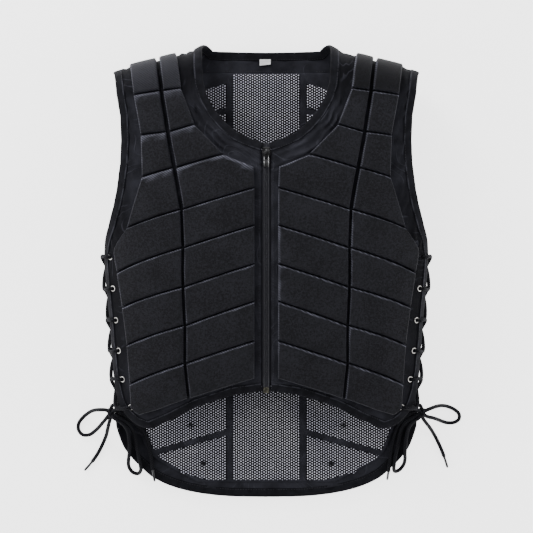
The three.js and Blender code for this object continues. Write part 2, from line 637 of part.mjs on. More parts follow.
// The back's blocks hang together by the cloth at the bottom of their channels.
function backBlocks() {
  const half = COLUMN_GAP / 2;
  const heights = [{ y: BACK_BLOCK_TOP * LENGTH, seam: false }];
  BACK_SEAMS.forEach((seam, i) => {
    const y = seam * LENGTH;
    const crosses = MIDDLE_SEAMS.includes(i);
    heights.push({ y: y + ROW_GAP, seam: false }, { y, seam: true, crosses }, { y: y - ROW_GAP, seam: false });
  });
  const outward = [0.45, 0.8, 0.87, 0.935, 1];
  const channel = MIDDLE_HALF * HALF_CHEST;
  const places = (side) => [
    ...[-half, 0, half].map((shift) => ({ kind: shift === 0 ? "channel" : "rim", x: channel + shift, side })),
    ...outward.map((share) => ({ kind: "side", share, side })),
  ];
  const columns = [...places(LEFT).reverse(), ...places(RIGHT)];
  const bottomAt = (x) => smoothAcross(BACK_BLOCK_BOTTOM, x);
  const top = heights.map(({ y }) =>
    columns.map((column) => {
      if (column.kind === "side") return backLine(y, column.side, column.share);
      return toSurface(column.side * column.x, y);
    }),
  );
  const foot = columns.map((column) => {
    const widest = BACK_BLOCK_BOTTOM.at(-1).across * HALF_CHEST;
    const x = column.kind === "side" ? channel + (widest - channel) * column.share : column.x;
    return toSurface(column.side * x, bottomAt(x));
  });
  const grid = [...top, foot].reverse();
  const rows = [...heights, { seam: false }].reverse();
  const low = FOAM * BLOCK_RIM;
  const under = (i) => CLEAR + (Math.min(i, columns.length - 1 - i) < outward.length - 1 ? 0.9 : 0);
  const height = (i, j) => {
    const column = columns[i];
    if (j === 0 || j === rows.length - 1 || i === 0 || i === columns.length - 1) return low;
    if (column.kind === "channel") return low;
    if (rows[j].seam && (column.kind === "side" || rows[j].crosses)) return low;
    return FOAM;
  };
  return withoutFlatEdges(wall(BACK, grid, height, under));
}

// The height of a table's edge at a distance from the middle, straight between its rows.
function smoothAcross(table, x) {
  const at = x / HALF_CHEST;
  const i = Math.max(table.findIndex((row) => row.across >= at), 1);
  const [a, b] = [table[i - 1], table[i]];
  return LENGTH * (a.along + ((b.along - a.along) * (at - a.across)) / (b.across - a.across));
}

function backLining() {
  const rows = shares(9).map((t) => {
    const [low, high] = [BACK_BLOCK_EDGE[0].along, BACK_BLOCK_TOP];
    const y = (low + (high - low) * t) * LENGTH;
    const flare = LINING_FLARE * THREE.MathUtils.clamp((y / LENGTH - FLARE_FROM) / (FLARE_TO - FLARE_FROM), 0, 1);
    return { y, edge: Math.abs(backBlockEdge(RIGHT, y)) + LINING_MARGIN + flare };
  });
  rows.unshift({ y: LINING_FOOT.along * LENGTH, edge: LINING_FOOT.across * HALF_CHEST });
  rows.push({ y: LINING_HEAD.along * LENGTH, edge: LINING_HEAD.across * HALF_CHEST });
  const columns = [-1, -0.93, -0.86, -0.78, 0, 0.78, 0.86, 0.93, 1];
  const grid = rows.map(({ y, edge }) => columns.map((share) => toSurface(share * edge, y)));
  const outside = (i) => -SHELL - CLEAR - (Math.abs(columns[i]) > 0.8 ? 0.8 : 0);
  const lining = toSolid(wall(BACK, grid, outside, (i) => outside(i) - LINING));
  const shell = toSolid(wall(BACK, GRIDS.back, level(0), level(-SHELL - CLEAR - 0.16)));
  return toGeometry(lining.subtract(shell).simplify(0.25));
}

// Bindings: a bar beside the shell's edge, along places on the two faces.
function binding(stations, turnedOut, gap) {
  const centre = stations.map(({ face, at }) => offsetPoint(face, at, -SHELL / 2));
  const last = centre.length - 1;
  const points = centre.flatMap((p, i) => {
    const { face, at } = stations[i];
    const normal = outwardNormal(face, at);
    const along = centre[Math.min(i + 1, last)].clone().sub(centre[Math.max(i - 1, 0)]).normalize();
    const out = along.cross(normal).normalize().multiplyScalar(turnedOut);
    const half = BINDING_THICKNESS / 2;
    const corners = [[gap, half], [gap + BINDING_WIDTH, half * 0.6]];
    const corner = ([reach, high], sign) => p.clone().addScaledVector(out, reach).addScaledVector(normal, sign * high);
    return [corner(corners[0], 1), corner(corners[1], 1), corner(corners[1], -1), corner(corners[0], -1)];
  });
  return sweptMesh(points, 4);
}

// Closed mesh of rings of corners, one ring after the other.
function sweptMesh(points, sides) {
  const rings = points.length / sides;
  const triangles = [];
  for (let ring = 0; ring + 1 < rings; ring += 1) {
    for (let k = 0; k < sides; k += 1) {
      const [a, b] = [ring * sides + k, ring * sides + ((k + 1) % sides)];
      triangles.push([a, b, b + sides], [a, b + sides, a + sides]);
    }
  }
  const end = (rings - 1) * sides;
  for (let k = 1; k + 1 < sides; k += 1) triangles.push([0, k + 1, k], [end, end + k, end + k + 1]);
  return closedMesh(points, triangles);
}

const onFace = (face, places) => places.map((at) => ({ face, at }));
const lastOf = (row) => row.at(-1);

function outerBinding(side) {
  const front = GRIDS[side];
  const back = side === RIGHT ? GRIDS.back : GRIDS.back.map((row) => [...row].reverse());
  const hem = back[0].slice(back[0].length / 2 + 1, -1).reverse();
  const stations = [
    ...onFace(FRONT, [...front[0].slice(0, -1), ...front.map(lastOf)]),
    ...onFace(BACK, [...back.map(lastOf).reverse(), ...hem, toSurface(side * CLEAR, BACK_HEM[0].along * LENGTH)]),
  ];
  return binding(stations, side, 1.9 * CLEAR);
}

function neckBinding() {
  const front = (side) => GRIDS[side].at(-1).slice(0, NECK_CELLS + 1);
  const back = GRIDS.back.at(-1).slice(BACK_SEAM_CELLS, -BACK_SEAM_CELLS);
  const stations = [
    ...onFace(FRONT, front(LEFT)),
    ...onFace(BACK, back),
    ...onFace(FRONT, front(RIGHT).reverse()),
  ];
  return binding(stations, 1, 2.6 * CLEAR);
}

// Zip
function zipPlaces(x, from, to, count) {
  return shares(count).map((t) => toSurface(x, from + (to - from) * t));
}

function zipTape(side) {
  const wedgeFoot = SLIDER_Y - SLIDER_LENGTH / 2;
  const hem = FRONT_HEM[0].along * LENGTH;
  const neck = FRONT_NECK[0].along * LENGTH;
  const strip = (close, spread, foot, head) => [
    ...zipPlaces(side * foot, ZIP_BOTTOM, hem - 0.4, 1),
    ...zipPlaces(side * close, hem + 0.4, wedgeFoot - 2, 8),
    ...zipPlaces(side * spread, wedgeFoot, neck - 1, 2),
    ...zipPlaces(side * head, neck - 0.2, ZIP_TOP, 1),
  ];
  const wedge = WEDGE_HALF + CLEAR;
  const inner = strip(CLEAR / 2, wedge, CLEAR / 2, wedge);
  const outer = strip(TAPE_HALF, TAPE_HALF, ZIP_EDGE - CLEAR, ZIP_EDGE - 1.9);
  const grid = inner.map((at, i) => [at, outer[i]]);
  const outside = (i, j) => -SHELL - CLEAR - (j > inner.length - 3 ? 0.75 * CLEAR : 0);
  return wall(FRONT, grid, outside, (i, j) => outside(i, j) - TAPE);
}

function zipStrip(half, from, to, outside, inside) {
  const left = zipPlaces(-half, from, to, 12);
  const right = zipPlaces(half, from, to, 12);
  return wall(FRONT, left.map((at, i) => [at, right[i]]), level(outside), level(inside));
}

function zipTeeth() {
  const floor = -SHELL - CLEAR / 2;
  const teeth = zipStrip(TOOTH_HALF, ZIP_BOTTOM + STOP_LENGTH - 1, SLIDER_Y - 2, TOOTH_TOP, floor);
  const stop = zipStrip(STOP_HALF, ZIP_BOTTOM, ZIP_BOTTOM + STOP_LENGTH, TOOTH_TOP + 0.8, floor);
  return joined(teeth, stop);
}

function box(width, depth, height, x, y, z) {
  return new THREE.BoxGeometry(width, depth, height).translate(x, y, z);
}

// The slider's own frame has its origin on the shell's face under the pull's hinge, +Y up the zip.
const PLATE_TOP = TOOTH_TOP + CLEAR + SLIDER_PLATE;
const PIVOT_HEIGHT = PLATE_TOP + 1.5;
function sliderPlate(low) {
  const [half, tip, length] = [SLIDER_WIDTH / 2, SLIDER_WIDTH * 0.36, SLIDER_LENGTH / 2];
  const outline = new THREE.Shape([
    new THREE.Vector2(-tip, -length),
    new THREE.Vector2(tip, -length),
    new THREE.Vector2(half, 0),
    new THREE.Vector2(half * 0.86, length),
    new THREE.Vector2(-half * 0.86, length),
    new THREE.Vector2(-half, 0),
  ]);
  const plate = new THREE.ExtrudeGeometry(outline, { depth: SLIDER_PLATE, bevelEnabled: false });
  return plate.translate(0, 0, low);
}

function zipSlider() {
  const topLow = PLATE_TOP - SLIDER_PLATE;
  const bottomLow = -SHELL - 2 * CLEAR - TAPE - SLIDER_PLATE;
  const wedge = box(2 * WEDGE_HALF, SLIDER_LENGTH / 2 - 1.4, topLow - bottomLow + 1, 0, SLIDER_LENGTH / 4 + 0.6, 0);
  wedge.translate(0, 0, (topLow + bottomLow + SLIDER_PLATE) / 2);
  const flanges = [-1, 1].map((s) =>
    box(0.9, SLIDER_LENGTH * 0.5, 2, s * (SLIDER_WIDTH / 2 - 1), 0.6, topLow - 0.9),
  );
  const barLow = PIVOT_HEIGHT + 1.45;
  const post = (s) => {
    const high = barLow - PLATE_TOP + 1;
    return box(BRIDGE_WIDTH, BRIDGE_POST, high, 0, (s * (BRIDGE_SPAN + BRIDGE_POST)) / 2, PLATE_TOP + high / 2 - 0.5);
  };
  const bar = box(BRIDGE_WIDTH, BRIDGE_SPAN + 2 * BRIDGE_POST, SLIDER_PLATE, 0, 0, barLow + SLIDER_PLATE / 2);
  return joined(sliderPlate(topLow), sliderPlate(bottomLow), wedge, ...flanges, post(-1), post(1), bar);
}

// The pull's frame has its origin on its hinge axis.
function zipPull() {
  const half = PULL_WIDTH / 2;
  const [bar, window] = [0.9, { half: BRIDGE_WIDTH / 2 + 0.9, end: -0.42 * PULL_LENGTH }];
  const outline = new THREE.Shape([
    new THREE.Vector2(-half, bar),
    new THREE.Vector2(-half, -PULL_LENGTH + 2),
    new THREE.Vector2(-half + 1.6, -PULL_LENGTH),
    new THREE.Vector2(half - 1.6, -PULL_LENGTH),
    new THREE.Vector2(half, -PULL_LENGTH + 2),
    new THREE.Vector2(half, bar),
  ]);
  const opening = (wide, from, to) => {
    const hole = new THREE.Path();
    hole.setFromPoints([
      new THREE.Vector2(-wide, from),
      new THREE.Vector2(wide, from),
      new THREE.Vector2(wide, to),
      new THREE.Vector2(-wide, to),
    ]);
    return hole;
  };
  outline.holes.push(opening(window.half, window.end, -bar), opening(1.2, -PULL_LENGTH + 3.2, window.end - 2.2));
  const plate = new THREE.ExtrudeGeometry(outline, { depth: PULL_THICKNESS, bevelEnabled: false });
  return plate.translate(0, 0, -PULL_THICKNESS / 2);
}

function zipHead() {
  const at = toSurface(0, SLIDER_Y);
  const normal = outwardNormal(FRONT, at);
  const head = new THREE.Group();
  head.position.copy(surfacePoint(FRONT, at));
  head.rotation.x = Math.atan2(-normal.y, normal.z);
  head.add(piece("zip_slider", zipSlider(), "metal"));
  const pull = piece("zip_pull", zipPull(), "metal");
  pull.position.z = PIVOT_HEIGHT;
  pull.rotation.x = THREE.MathUtils.degToRad(PULL_TILT);
  head.add(pull);
  return head;
}

function neckLabel() {
  const top = BACK_NECK[0].along * LENGTH - LABEL.below_edge;
  const grid = [top - LABEL.height, top].map((y) =>
    [-0.5, 0.5].map((share) => toSurface(LABEL.x + share * LABEL.width, y)),
  );
  const outside = -SHELL - CLEAR;
  return wall(BACK, grid, level(outside), level(outside - LABEL.thickness));
}

// Laces. A curve whose steps fall on its own points, so that a tube bends where it is told to.
class Route extends THREE.CatmullRomCurve3 {
  getPointAt(t, target) {
    return this.getPoint(t, target);
  }

  getTangentAt(t, target) {
    return this.getTangent(t, target);
  }
}

function tube(curve, diameter, sides, steps) {
  const circle = shares(sides).slice(1).map((t) => {
    const angle = t * 2 * Math.PI;
    return new THREE.Vector2(Math.cos(angle), Math.sin(angle)).multiplyScalar(diameter / 2);
  });
  return new THREE.ExtrudeGeometry(new THREE.Shape(circle), { steps, extrudePath: curve, bevelEnabled: false });
}

const LACE_OVER = BINDING_THICKNESS / 2 - SHELL / 2 + LACE / 2 + 2 * CLEAR;
const LACE_PAST = EYELET_INSET + BINDING_WIDTH + 3; // eyelet to beyond the binding
const LACE_UNDER = -SHELL / 2 - BINDING_THICKNESS / 2 - LACE / 2 - 2 * CLEAR;

// A place beyond the eyelet by a distance round the cross-section, towards the side line.
function beyondEyelet(face, side, along, distance) {
  const [across, height] = eyeletPlace(face, side, along);
  const reach = acrossTangent(face, [across, height]).length();
  return [across + (side * distance) / reach, height];
}

function knotCentre(side) {
  const y = KNOT_AT * LENGTH;
  return new THREE.Vector3(side * (halfWidth(y) + KNOT_OUT), y, KNOT_HEIGHT);
}

// The lace goes up the side in one zigzag, across at the top, and down in the other. Each crossing leaves
// an eyelet outwards, passes the gap outside or inside the other strand, and comes up under the next one.
function lacingRoute(side) {
  const last = EYELETS.length - 1;
  const up = Array.from({ length: last + 1 }, (_, i) => ({ face: i % 2 ? BACK : FRONT, k: last - i }));
  const down = Array.from({ length: last + 1 }, (_, i) => ({ face: i % 2 ? BACK : FRONT, k: i }));
  const hole = ({ face, k }, offset, on = 0) => offsetPoint(face, beyondEyelet(face, side, EYELETS[k], on), offset);
  const past = ({ face, k }) => LACE_PAST + (k === last && face === FRONT ? 4.5 : 0);
  const middle = (from, to, out) => {
    const point = hole(from, -1, LACE_PAST).add(hole(to, -1, LACE_PAST)).multiplyScalar(0.5);
    return point.add(new THREE.Vector3(side * out, 0, 0));
  };
  const points = [knotCentre(side)];
  const crossing = (from, to, out) => {
    points.push(hole(from, -SHELL / 2), hole(from, LACE_OVER + 0.7, 2.6), hole(from, LACE_OVER + 0.9, past(from)));
    points.push(middle(from, to, out), hole(to, LACE_UNDER, LACE_PAST), hole(to, LACE_UNDER, 2.4));
  };
  points.push(hole(up[0], LACE_UNDER - 1, LACE_PAST), hole(up[0], LACE_UNDER, 2.4));
  for (let i = 0; i < last; i += 1) crossing(up[i], up[i + 1], LACE * 0.6);
  crossing(up[last], down[0], 0);
  for (let i = 0; i < last; i += 1) crossing(down[i], down[i + 1], -LACE * 0.6);
  points.push(hole(down[last], -SHELL / 2), hole(down[last], LACE_OVER + 0.7, 2.6));
  points.push(hole(down[last], LACE_OVER + 1, LACE_PAST), knotCentre(side));
  return points;
}

function lacing(side) {
  const route = lacingRoute(side);
  const cord = tube(new Route(route), LACE, 6, route.length - 1);
  const centre = knotCentre(side);
  const knot = new THREE.SphereGeometry(1, 9, 6).scale(...KNOT).translate(centre.x, centre.y, centre.z);
  return joined(cord, knot);
}

function strand(points) {
  const curve = new THREE.CatmullRomCurve3(points.map((p) => new THREE.Vector3(...p)));
  return tube(curve, LACE, STRAND_SIDES, Math.round(curve.getLength() / STRAND_STEP));
}

// The whole vest
const vest = new THREE.Group();
vest.add(piece("back_shell", backShell(), "shell"));
vest.add(piece("back_blocks", backBlocks(), "block"));
vest.add(piece("back_lining", backLining(), "lining"));
for (const [side, hand] of [[LEFT, "left"], [RIGHT, "right"]]) {
  vest.add(piece("front_shell_" + hand, frontShell(side), "shell"));
  for (let row = 0; row <= LAST_ROW; row += 1) {
    vest.add(piece(`block_${hand}_inner_${row + 1}`, innerBlock(side, row), "block"));
    vest.add(piece(`block_${hand}_outer_${row + 1}`, outerBlock(side, row), "block"));
  }
  vest.add(piece("binding_" + hand, outerBinding(side), "binding"));
  vest.add(piece("zip_tape_" + hand, zipTape(side), "tape"));
  vest.add(piece("lacing_" + hand, lacing(side), "lace"));
}
vest.add(piece("binding_neck", neckBinding(), "binding"));
vest.add(piece("zip_teeth", zipTeeth(), "teeth"));
vest.add(zipHead());
vest.add(piece("neck_label", neckLabel(), "label"));
for (const [name, points] of Object.entries(STRANDS)) vest.add(piece(name, strand(points), "lace"));

export default vest;
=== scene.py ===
# Looks of a rider's body protector that lies on its back with its laces tied in bows.
# Lengths are in millimetres until a mesh is made; the form is the one that the solids follow.
import math

import bpy
import numpy as np
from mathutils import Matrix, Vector


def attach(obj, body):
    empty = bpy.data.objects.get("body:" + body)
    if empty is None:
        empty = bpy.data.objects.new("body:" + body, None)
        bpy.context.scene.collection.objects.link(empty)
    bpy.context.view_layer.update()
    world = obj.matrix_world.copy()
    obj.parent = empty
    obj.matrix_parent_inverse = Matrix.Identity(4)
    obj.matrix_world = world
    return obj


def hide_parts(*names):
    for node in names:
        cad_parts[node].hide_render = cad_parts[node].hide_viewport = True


MM = 0.001
SEED = 7
VEST = "vest"
PULL = "pull"
FRONT = 1
BACK = -1
LEFT = -1
RIGHT = 1
HANDS = {LEFT: "left", RIGHT: "right"}

# Sizes that the solids have too
LENGTH = 622.0  # back hem to the top of the shoulders
HALF_CHEST = 222.0  # middle to side at the armpit
CREST = 104.0  # top of the shell over the floor
FOAM = 11.0
SHELL = 3.0
CLEAR = 0.4
BACK_CORNER = 50.0  # width of the bend from the back into the side
SHOULDER_ROLL = 36.0  # radius of the shoulders' bend
SHOULDER_TOP = 303.0
SHOULDER_SLOPE = 0.25
SHOULDER_THIN = 0.6  # share of its foam that a shoulder block loses towards the seam
NECK_HALF = 104.0  # middle to where the shoulder starts
NECK_RISE = 37.0
FRONT_ROUNDNESS = 2.6
SEAM_GAP = 0.5
ROW_GAP = 2.6
COLUMN_GAP = 4.6
BINDING_WIDTH = 8.76
BINDING_HALF = 2.6
EYELET_INSET = 6.5
ZIP_EDGE = 6.5
ZIP_TOP = 176.4
ZIP_BOTTOM = -166.0
TAPE_HALF = 15.0
TAPE = 1.2
SLIDER_Y = 163.0
PIVOT_HEIGHT = 3.7
PULL_TILT = math.radians(4)
KNOT_AT = -0.3135  # share of LENGTH along the side
KNOT_OUT = 5.0
KNOT_HEIGHT = 40.0
KNOT = (6.0, 7.5, 6.0)

# The bright floor eats into thin dark cords, so the lace is thicker here than in the solids
LACE = 5.2
EYELET_HOLE = 3.1
KNOT_REACH = 17.0  # strands' ends nearer to the knot's middle than this run into it
AGLET = 17.0

# The body's form: along in shares of LENGTH, width in shares of HALF_CHEST, heights in shares of CREST.
STATIONS = np.array([
    (-0.5, 0.965, 0.64, 0.2),
    (-0.35, 0.952, 0.78, 0.38),
    (-0.26, 0.948, 0.88, 0.49),
    (-0.16, 0.958, 0.945, 0.54),
    (0, 0.997, 0.995, 0.555),
    (0.06, 1.005, 1, 0.555),
    (0.18, 1.035, 0.99, 0.54),
    (0.29, 1.085, 0.955, 0.52),
    (0.4, 1.14, 0.9, 0.5),
    (0.5, 1.2, 0.86, 0.48),
])
# Edges as (along, across)
FRONT_EDGE = np.array([
    (-0.3265, 0.793), (-0.311, 0.842), (-0.291, 0.883), (-0.26, 0.907), (-0.22, 0.926), (-0.16, 0.942),
    (-0.08, 0.96), (0, 0.981), (0.035, 0.986), (0.064, 0.976), (0.097, 0.947), (0.14, 0.913), (0.178, 0.89),
    (0.24, 0.866), (0.29, 0.86), (0.345, 0.866), (0.395, 0.89), (0.5, 0.917),
])
BACK_EDGE = np.array([
    (-0.4165, 0.797), (-0.386, 0.865), (-0.341, 0.914), (-0.3, 0.926), (-0.22, 0.933), (-0.16, 0.941),
    (-0.08, 0.958), (0, 0.979), (0.035, 0.985), (0.064, 0.98), (0.097, 0.962), (0.14, 0.93), (0.178, 0.905),
    (0.24, 0.874), (0.29, 0.866), (0.345, 0.868), (0.395, 0.89), (0.5, 0.917),
])
FRONT_HEM = np.array([
    (-0.2492, 0.031), (-0.2588, 0.216), (-0.2854, 0.441), (-0.315, 0.604), (-0.3345, 0.728), (-0.3265, 0.793),
])
BACK_HEM = np.array([(-0.492, 0), (-0.489, 0.284), (-0.4755, 0.518), (-0.4515, 0.685), (-0.4165, 0.797)])
FRONT_NECK = np.array([
    (0.2701, 0.0293), (0.281, 0.117), (0.294, 0.2), (0.317, 0.275), (0.346, 0.345), (0.381, 0.4),
    (0.414, 0.428), (0.45, 0.436), (0.5, 0.432),
])
BACK_NECK = np.array([(0.4775, 0), (0.4785, 0.18), (0.4805, 0.3), (0.483, 0.36), (0.5, 0.432)])
SEAM_START = 0.432
SEAM_TIP = 0.917

# Seams between the front's rows: (across, along) at the inner end, the channel and the outer end.
FRONT_SEAMS = np.array([
    ((0.558, 0.5), (0.676, 0.5), (0.85, 0.5)),
    ((0.525, 0.4035), (0.644, 0.398), (0.815, 0.389)),
    ((0.441, 0.323), (0.604, 0.307), (0.77, 0.3)),
    ((0.266, 0.258), (0.563, 0.228), (0.761, 0.208)),
    ((0.072, 0.1845), (0.518, 0.137), (0.85, 0.096)),
    ((0.072, 0.1025), (0.509, 0.053), (0.908, -0.002)),
    ((0.072, 0.018), (0.509, -0.033), (0.878, -0.078)),
    ((0.072, -0.064), (0.498, -0.117), (0.851, -0.1615)),
    ((0.072, -0.1505), (0.498, -0.2), (0.836, -0.247)),
    ((0.072, -0.2345), (0.477, -0.279), (0.829, -0.299)),
])
NECK_CORNER = (3, 0.0785, 0.231)
ARMPIT_CORNER = (4, 0.93, 0.047)
HEM_CORNERS = ((0.676, -0.305), (0.784, -0.3165))
LAST_ROW = 8

BACK_SEAMS = (0.364, 0.2733, 0.1833, 0.0932, 0.0032, -0.0868, -0.1768, -0.2667, -0.3585)
BACK_SEAM_SLOPE = 0.28
MIDDLE_SEAMS = (2, 4, 6)
MIDDLE_HALF = 0.23
BACK_BLOCK_TOP = 0.424
BACK_BLOCK_BOTTOM = np.array([(0, -0.4555), (0.37, -0.4555), (0.52, -0.441)])
BACK_BLOCK_EDGE = np.array([
    (-0.441, 0.52), (-0.4, 0.676), (-0.353, 0.745), (-0.3, 0.81), (-0.24, 0.835), (-0.16, 0.853),
    (-0.08, 0.872), (0, 0.89), (0.05, 0.87), (0.096, 0.82), (0.16, 0.77), (0.22, 0.757), (0.3, 0.762),
    (0.36, 0.785), (0.424, 0.81),
])
EYELETS = (0.0326, -0.0373, -0.1072, -0.1748, -0.238, -0.3)

STRANDS = {
    "bow_loop_out_left": (
        (-222.3, -191.8, 41), (-229.6, -191.6, 37.5), (-237.5, -192.4, 29), (-244, -194.6, 18),
        (-250, -198.5, 8), (-257, -204.5, 2.6), (-262.6, -212.5, 2.1), (-262.8, -221.5, 2.1),
        (-256.8, -228.4, 2.1), (-247.5, -228.2, 2.6), (-239.6, -222.8, 8), (-233.6, -217, 18),
        (-228, -210.6, 29), (-221.6, -203, 37),
    ),
    "bow_tail_out_left": (
        (-216.4, -202.6, 38), (-219, -212, 31), (-221.3, -220.5, 21), (-223.8, -229, 9.5),
        (-227.6, -238, 2.8), (-232.6, -248.6, 2.1), (-239, -259.4, 2.1), (-246.6, -269.4, 2.1),
        (-254.6, -278.4, 2.1),
    ),
    "bow_loop_down_left": (
        (-211.4, -202.6, 44), (-204.6, -206.8, 42), (-197.4, -213.4, 36.5), (-192.6, -222.6, 30.5),
        (-190.6, -234, 27.6), (-190.4, -246, 25), (-191.4, -256, 20), (-192.6, -265, 12), (-192.2, -273, 5),
        (-187.4, -280.4, 2.3), (-180.4, -282.8, 2.6), (-175.6, -278.2, 10.4), (-175.4, -270.6, 19.3),
        (-177, -262.6, 19.9), (-178.8, -253, 20.6), (-181, -243, 21.6), (-182.8, -233.6, 22.4),
        (-185.6, -222.6, 25.4), (-190.4, -213.4, 31.6), (-197.4, -206.2, 38.6), (-206, -200.4, 43.6),
    ),
    "bow_tail_down_left": (
        (-208.9, -192.6, 39.5), (-203, -195, 39), (-196.6, -199.8, 34.5), (-190, -205.6, 29.5),
        (-181.6, -213.6, 23), (-172.8, -221.6, 20), (-167, -232, 18.6), (-163.4, -244, 17.4),
        (-161, -257, 17.2), (-159.2, -270, 17.6), (-157.4, -282, 18.8), (-155.8, -292.6, 15.6),
    ),
    "bow_loop_out_right": (
        (222.2, -192, 41), (229.6, -189.2, 37.5), (238, -187, 29), (246, -186.8, 18), (254, -188.6, 8),
        (263, -192.8, 2.6), (269.6, -199, 2.1), (269.6, -206.4, 2.1), (263, -211, 2.1), (254, -211.6, 2.6),
        (246.5, -209.4, 8), (239.6, -206.4, 18), (232, -203.4, 29), (222.4, -200.6, 37),
    ),
    "bow_tail_out_right": (
        (216.9, -202.4, 38), (221.6, -209.4, 31), (226.6, -215.6, 21), (231.6, -222.6, 9.5),
        (237, -231.8, 2.8), (242, -242, 2.1), (246.6, -252.6, 2.1), (250.4, -263.4, 2.1),
        (253.8, -274.4, 2.1),
    ),
    "bow_loop_down_right": (
        (211.4, -202.6, 44), (204.8, -207.2, 42), (199.2, -214.4, 36.4), (196.2, -223, 31.4),
        (194.4, -234, 29), (193.4, -245, 26.6), (193.2, -254, 21), (193.6, -262, 13.6), (192, -270, 5.4),
        (186.6, -277.2, 2.3), (181, -279.6, 4), (178.2, -276.4, 11.8), (178.3, -269, 19.4), (179, -263, 19.4),
        (180, -256.6, 20.6), (182.6, -246, 22.8), (184.6, -234, 23.2), (187.2, -223, 25.6),
        (191, -213.6, 31.6), (197.6, -206.2, 38.6), (206, -200.4, 43.6),
    ),
    "bow_tail_down_right": (
        (208.9, -192.6, 39.5), (203, -195, 39), (196.6, -199.8, 34.5), (190.6, -206, 29.4),
        (184.6, -214.6, 24), (180, -225.4, 21), (177, -237, 19.8), (174.6, -249, 19.6), (172.8, -261, 18),
        (171.4, -270, 18.4), (170.6, -277.6, 17.2), (169.8, -284.6, 12), (169.2, -291, 6.4),
    ),
}

# Camera: straight above, with the photo's scale at the height of the blocks
CAMERA_HEIGHT = 4.0
MM_PER_PIXEL = 1.38
IMAGE = 533
MIDDLE_PIXEL = (266.3, 271.7)
SHARP_HEIGHT = 60.0
FLOOR_GLOW = 2.6

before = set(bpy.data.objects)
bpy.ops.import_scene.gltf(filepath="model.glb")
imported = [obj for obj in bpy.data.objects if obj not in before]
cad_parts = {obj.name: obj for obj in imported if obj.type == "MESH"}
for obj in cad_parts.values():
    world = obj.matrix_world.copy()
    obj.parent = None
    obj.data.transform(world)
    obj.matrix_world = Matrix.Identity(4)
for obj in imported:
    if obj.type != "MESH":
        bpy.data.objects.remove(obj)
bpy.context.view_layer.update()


def smooth(xs, ys, x):
    """The height at x of a smooth line through (xs, ys)."""
    x = np.clip(x, xs[0], xs[-1])
    i = np.clip(np.searchsorted(xs, x, side="right") - 1, 0, len(xs) - 2)
    low = np.maximum(np.arange(len(xs)) - 1, 0)
    high = np.minimum(np.arange(len(xs)) + 1, len(xs) - 1)
    slope = (ys[high] - ys[low]) / (xs[high] - xs[low])
    span = xs[i + 1] - xs[i]
    t = (x - xs[i]) / span
    rise = t * t * (3 - 2 * t)
    bend = slope[i] * t * (1 - t) ** 2 - slope[i + 1] * t * t * (1 - t)
    return ys[i] * (1 - rise) + ys[i + 1] * rise + span * bend


def station(column, y):
    return smooth(STATIONS[:, 0], STATIONS[:, column], y / LENGTH)


def half_width(y):
    return HALF_CHEST * station(1, y)


def section_height(face, x, y):
    half, side = half_width(y), CREST * station(3, y)
    out = np.minimum(np.abs(x) / half, 1)
    if face == FRONT:
        crown = CREST * station(2, y)
        return side + (crown - side) * (1 - out**FRONT_ROUNDNESS) ** (1 / FRONT_ROUNDNESS)
    turn = np.clip(1 - (half - np.abs(x)) / BACK_CORNER, 0, 1)
    return FOAM + (side - FOAM) * (1 - np.sqrt(1 - turn * turn))


def shoulder_top(x):
    out = np.abs(x)
    inside = SHOULDER_TOP + NECK_RISE * (1 - (out / NECK_HALF) ** 2)
    return np.where(out > NECK_HALF, SHOULDER_TOP - SHOULDER_SLOPE * (out - NECK_HALF), inside)


def to_surface(x, y):
    """Places on a shell, as an angle round its cross-section and a travel up it, over a flat plan."""
    x, y = np.broadcast_arrays(np.asarray(x, float), np.asarray(y, float))
    start = shoulder_top(x) - SHOULDER_ROLL
    turn = np.arcsin(np.clip((y - start) / SHOULDER_ROLL, 0, 1))
    turn = np.minimum(turn, math.pi / 2 - SEAM_GAP / 2 / SHOULDER_ROLL)
    along = np.where(y > start, start + SHOULDER_ROLL * turn, y)
    return np.stack([np.arcsin(np.clip(x / half_width(along), -1, 1)), along], axis=-1)


def surface_point(face, at):
    across, along = at[..., 0], at[..., 1]
    x = half_width(along) * np.sin(across)
    start = shoulder_top(x) - SHOULDER_ROLL
    turn = np.maximum(along - start, 0) / SHOULDER_ROLL
    level_y = np.minimum(along, start)
    level = section_height(face, x, level_y)
    middle = (level + section_height(-face, x, level_y)) / 2
    y = level_y + SHOULDER_ROLL * np.sin(turn)
    return np.stack([x, y, middle + (level - middle) * np.cos(turn)], axis=-1)


def outward(face, at):
    step = np.array([1e-4, 0.0])
    rise = np.array([0.0, 1e-2])
    across = surface_point(face, at + step) - surface_point(face, at - step)
    up = surface_point(face, at + rise) - surface_point(face, at - rise)
    normal = np.cross(across, up)
    return face * normal / np.linalg.norm(normal, axis=-1, keepdims=True)


def offset_point(face, at, distance):
    return surface_point(face, at) + outward(face, at) * np.asarray(distance)[..., None]


def edge_places(table, side):
    return to_surface(side * table[:, 1] * HALF_CHEST, table[:, 0] * LENGTH)


def by_length(steps):
    return np.hypot(steps[:, 0] * HALF_CHEST, steps[:, 1])


def by_height(steps):
    return np.abs(steps[:, 1])


def by_count(steps):
    return np.ones(len(steps))


def place_on(places, t, measure=by_length):
    """Places at shares t of the way along a line, as measured by one of the functions above."""
    way = np.concatenate([[0], np.cumsum(measure(np.diff(places, axis=0)))])
    way = way / way[-1] + np.arange(len(way)) * 1e-12
    return np.stack([np.interp(t, way, places[:, k]) for k in (0, 1)], axis=-1)


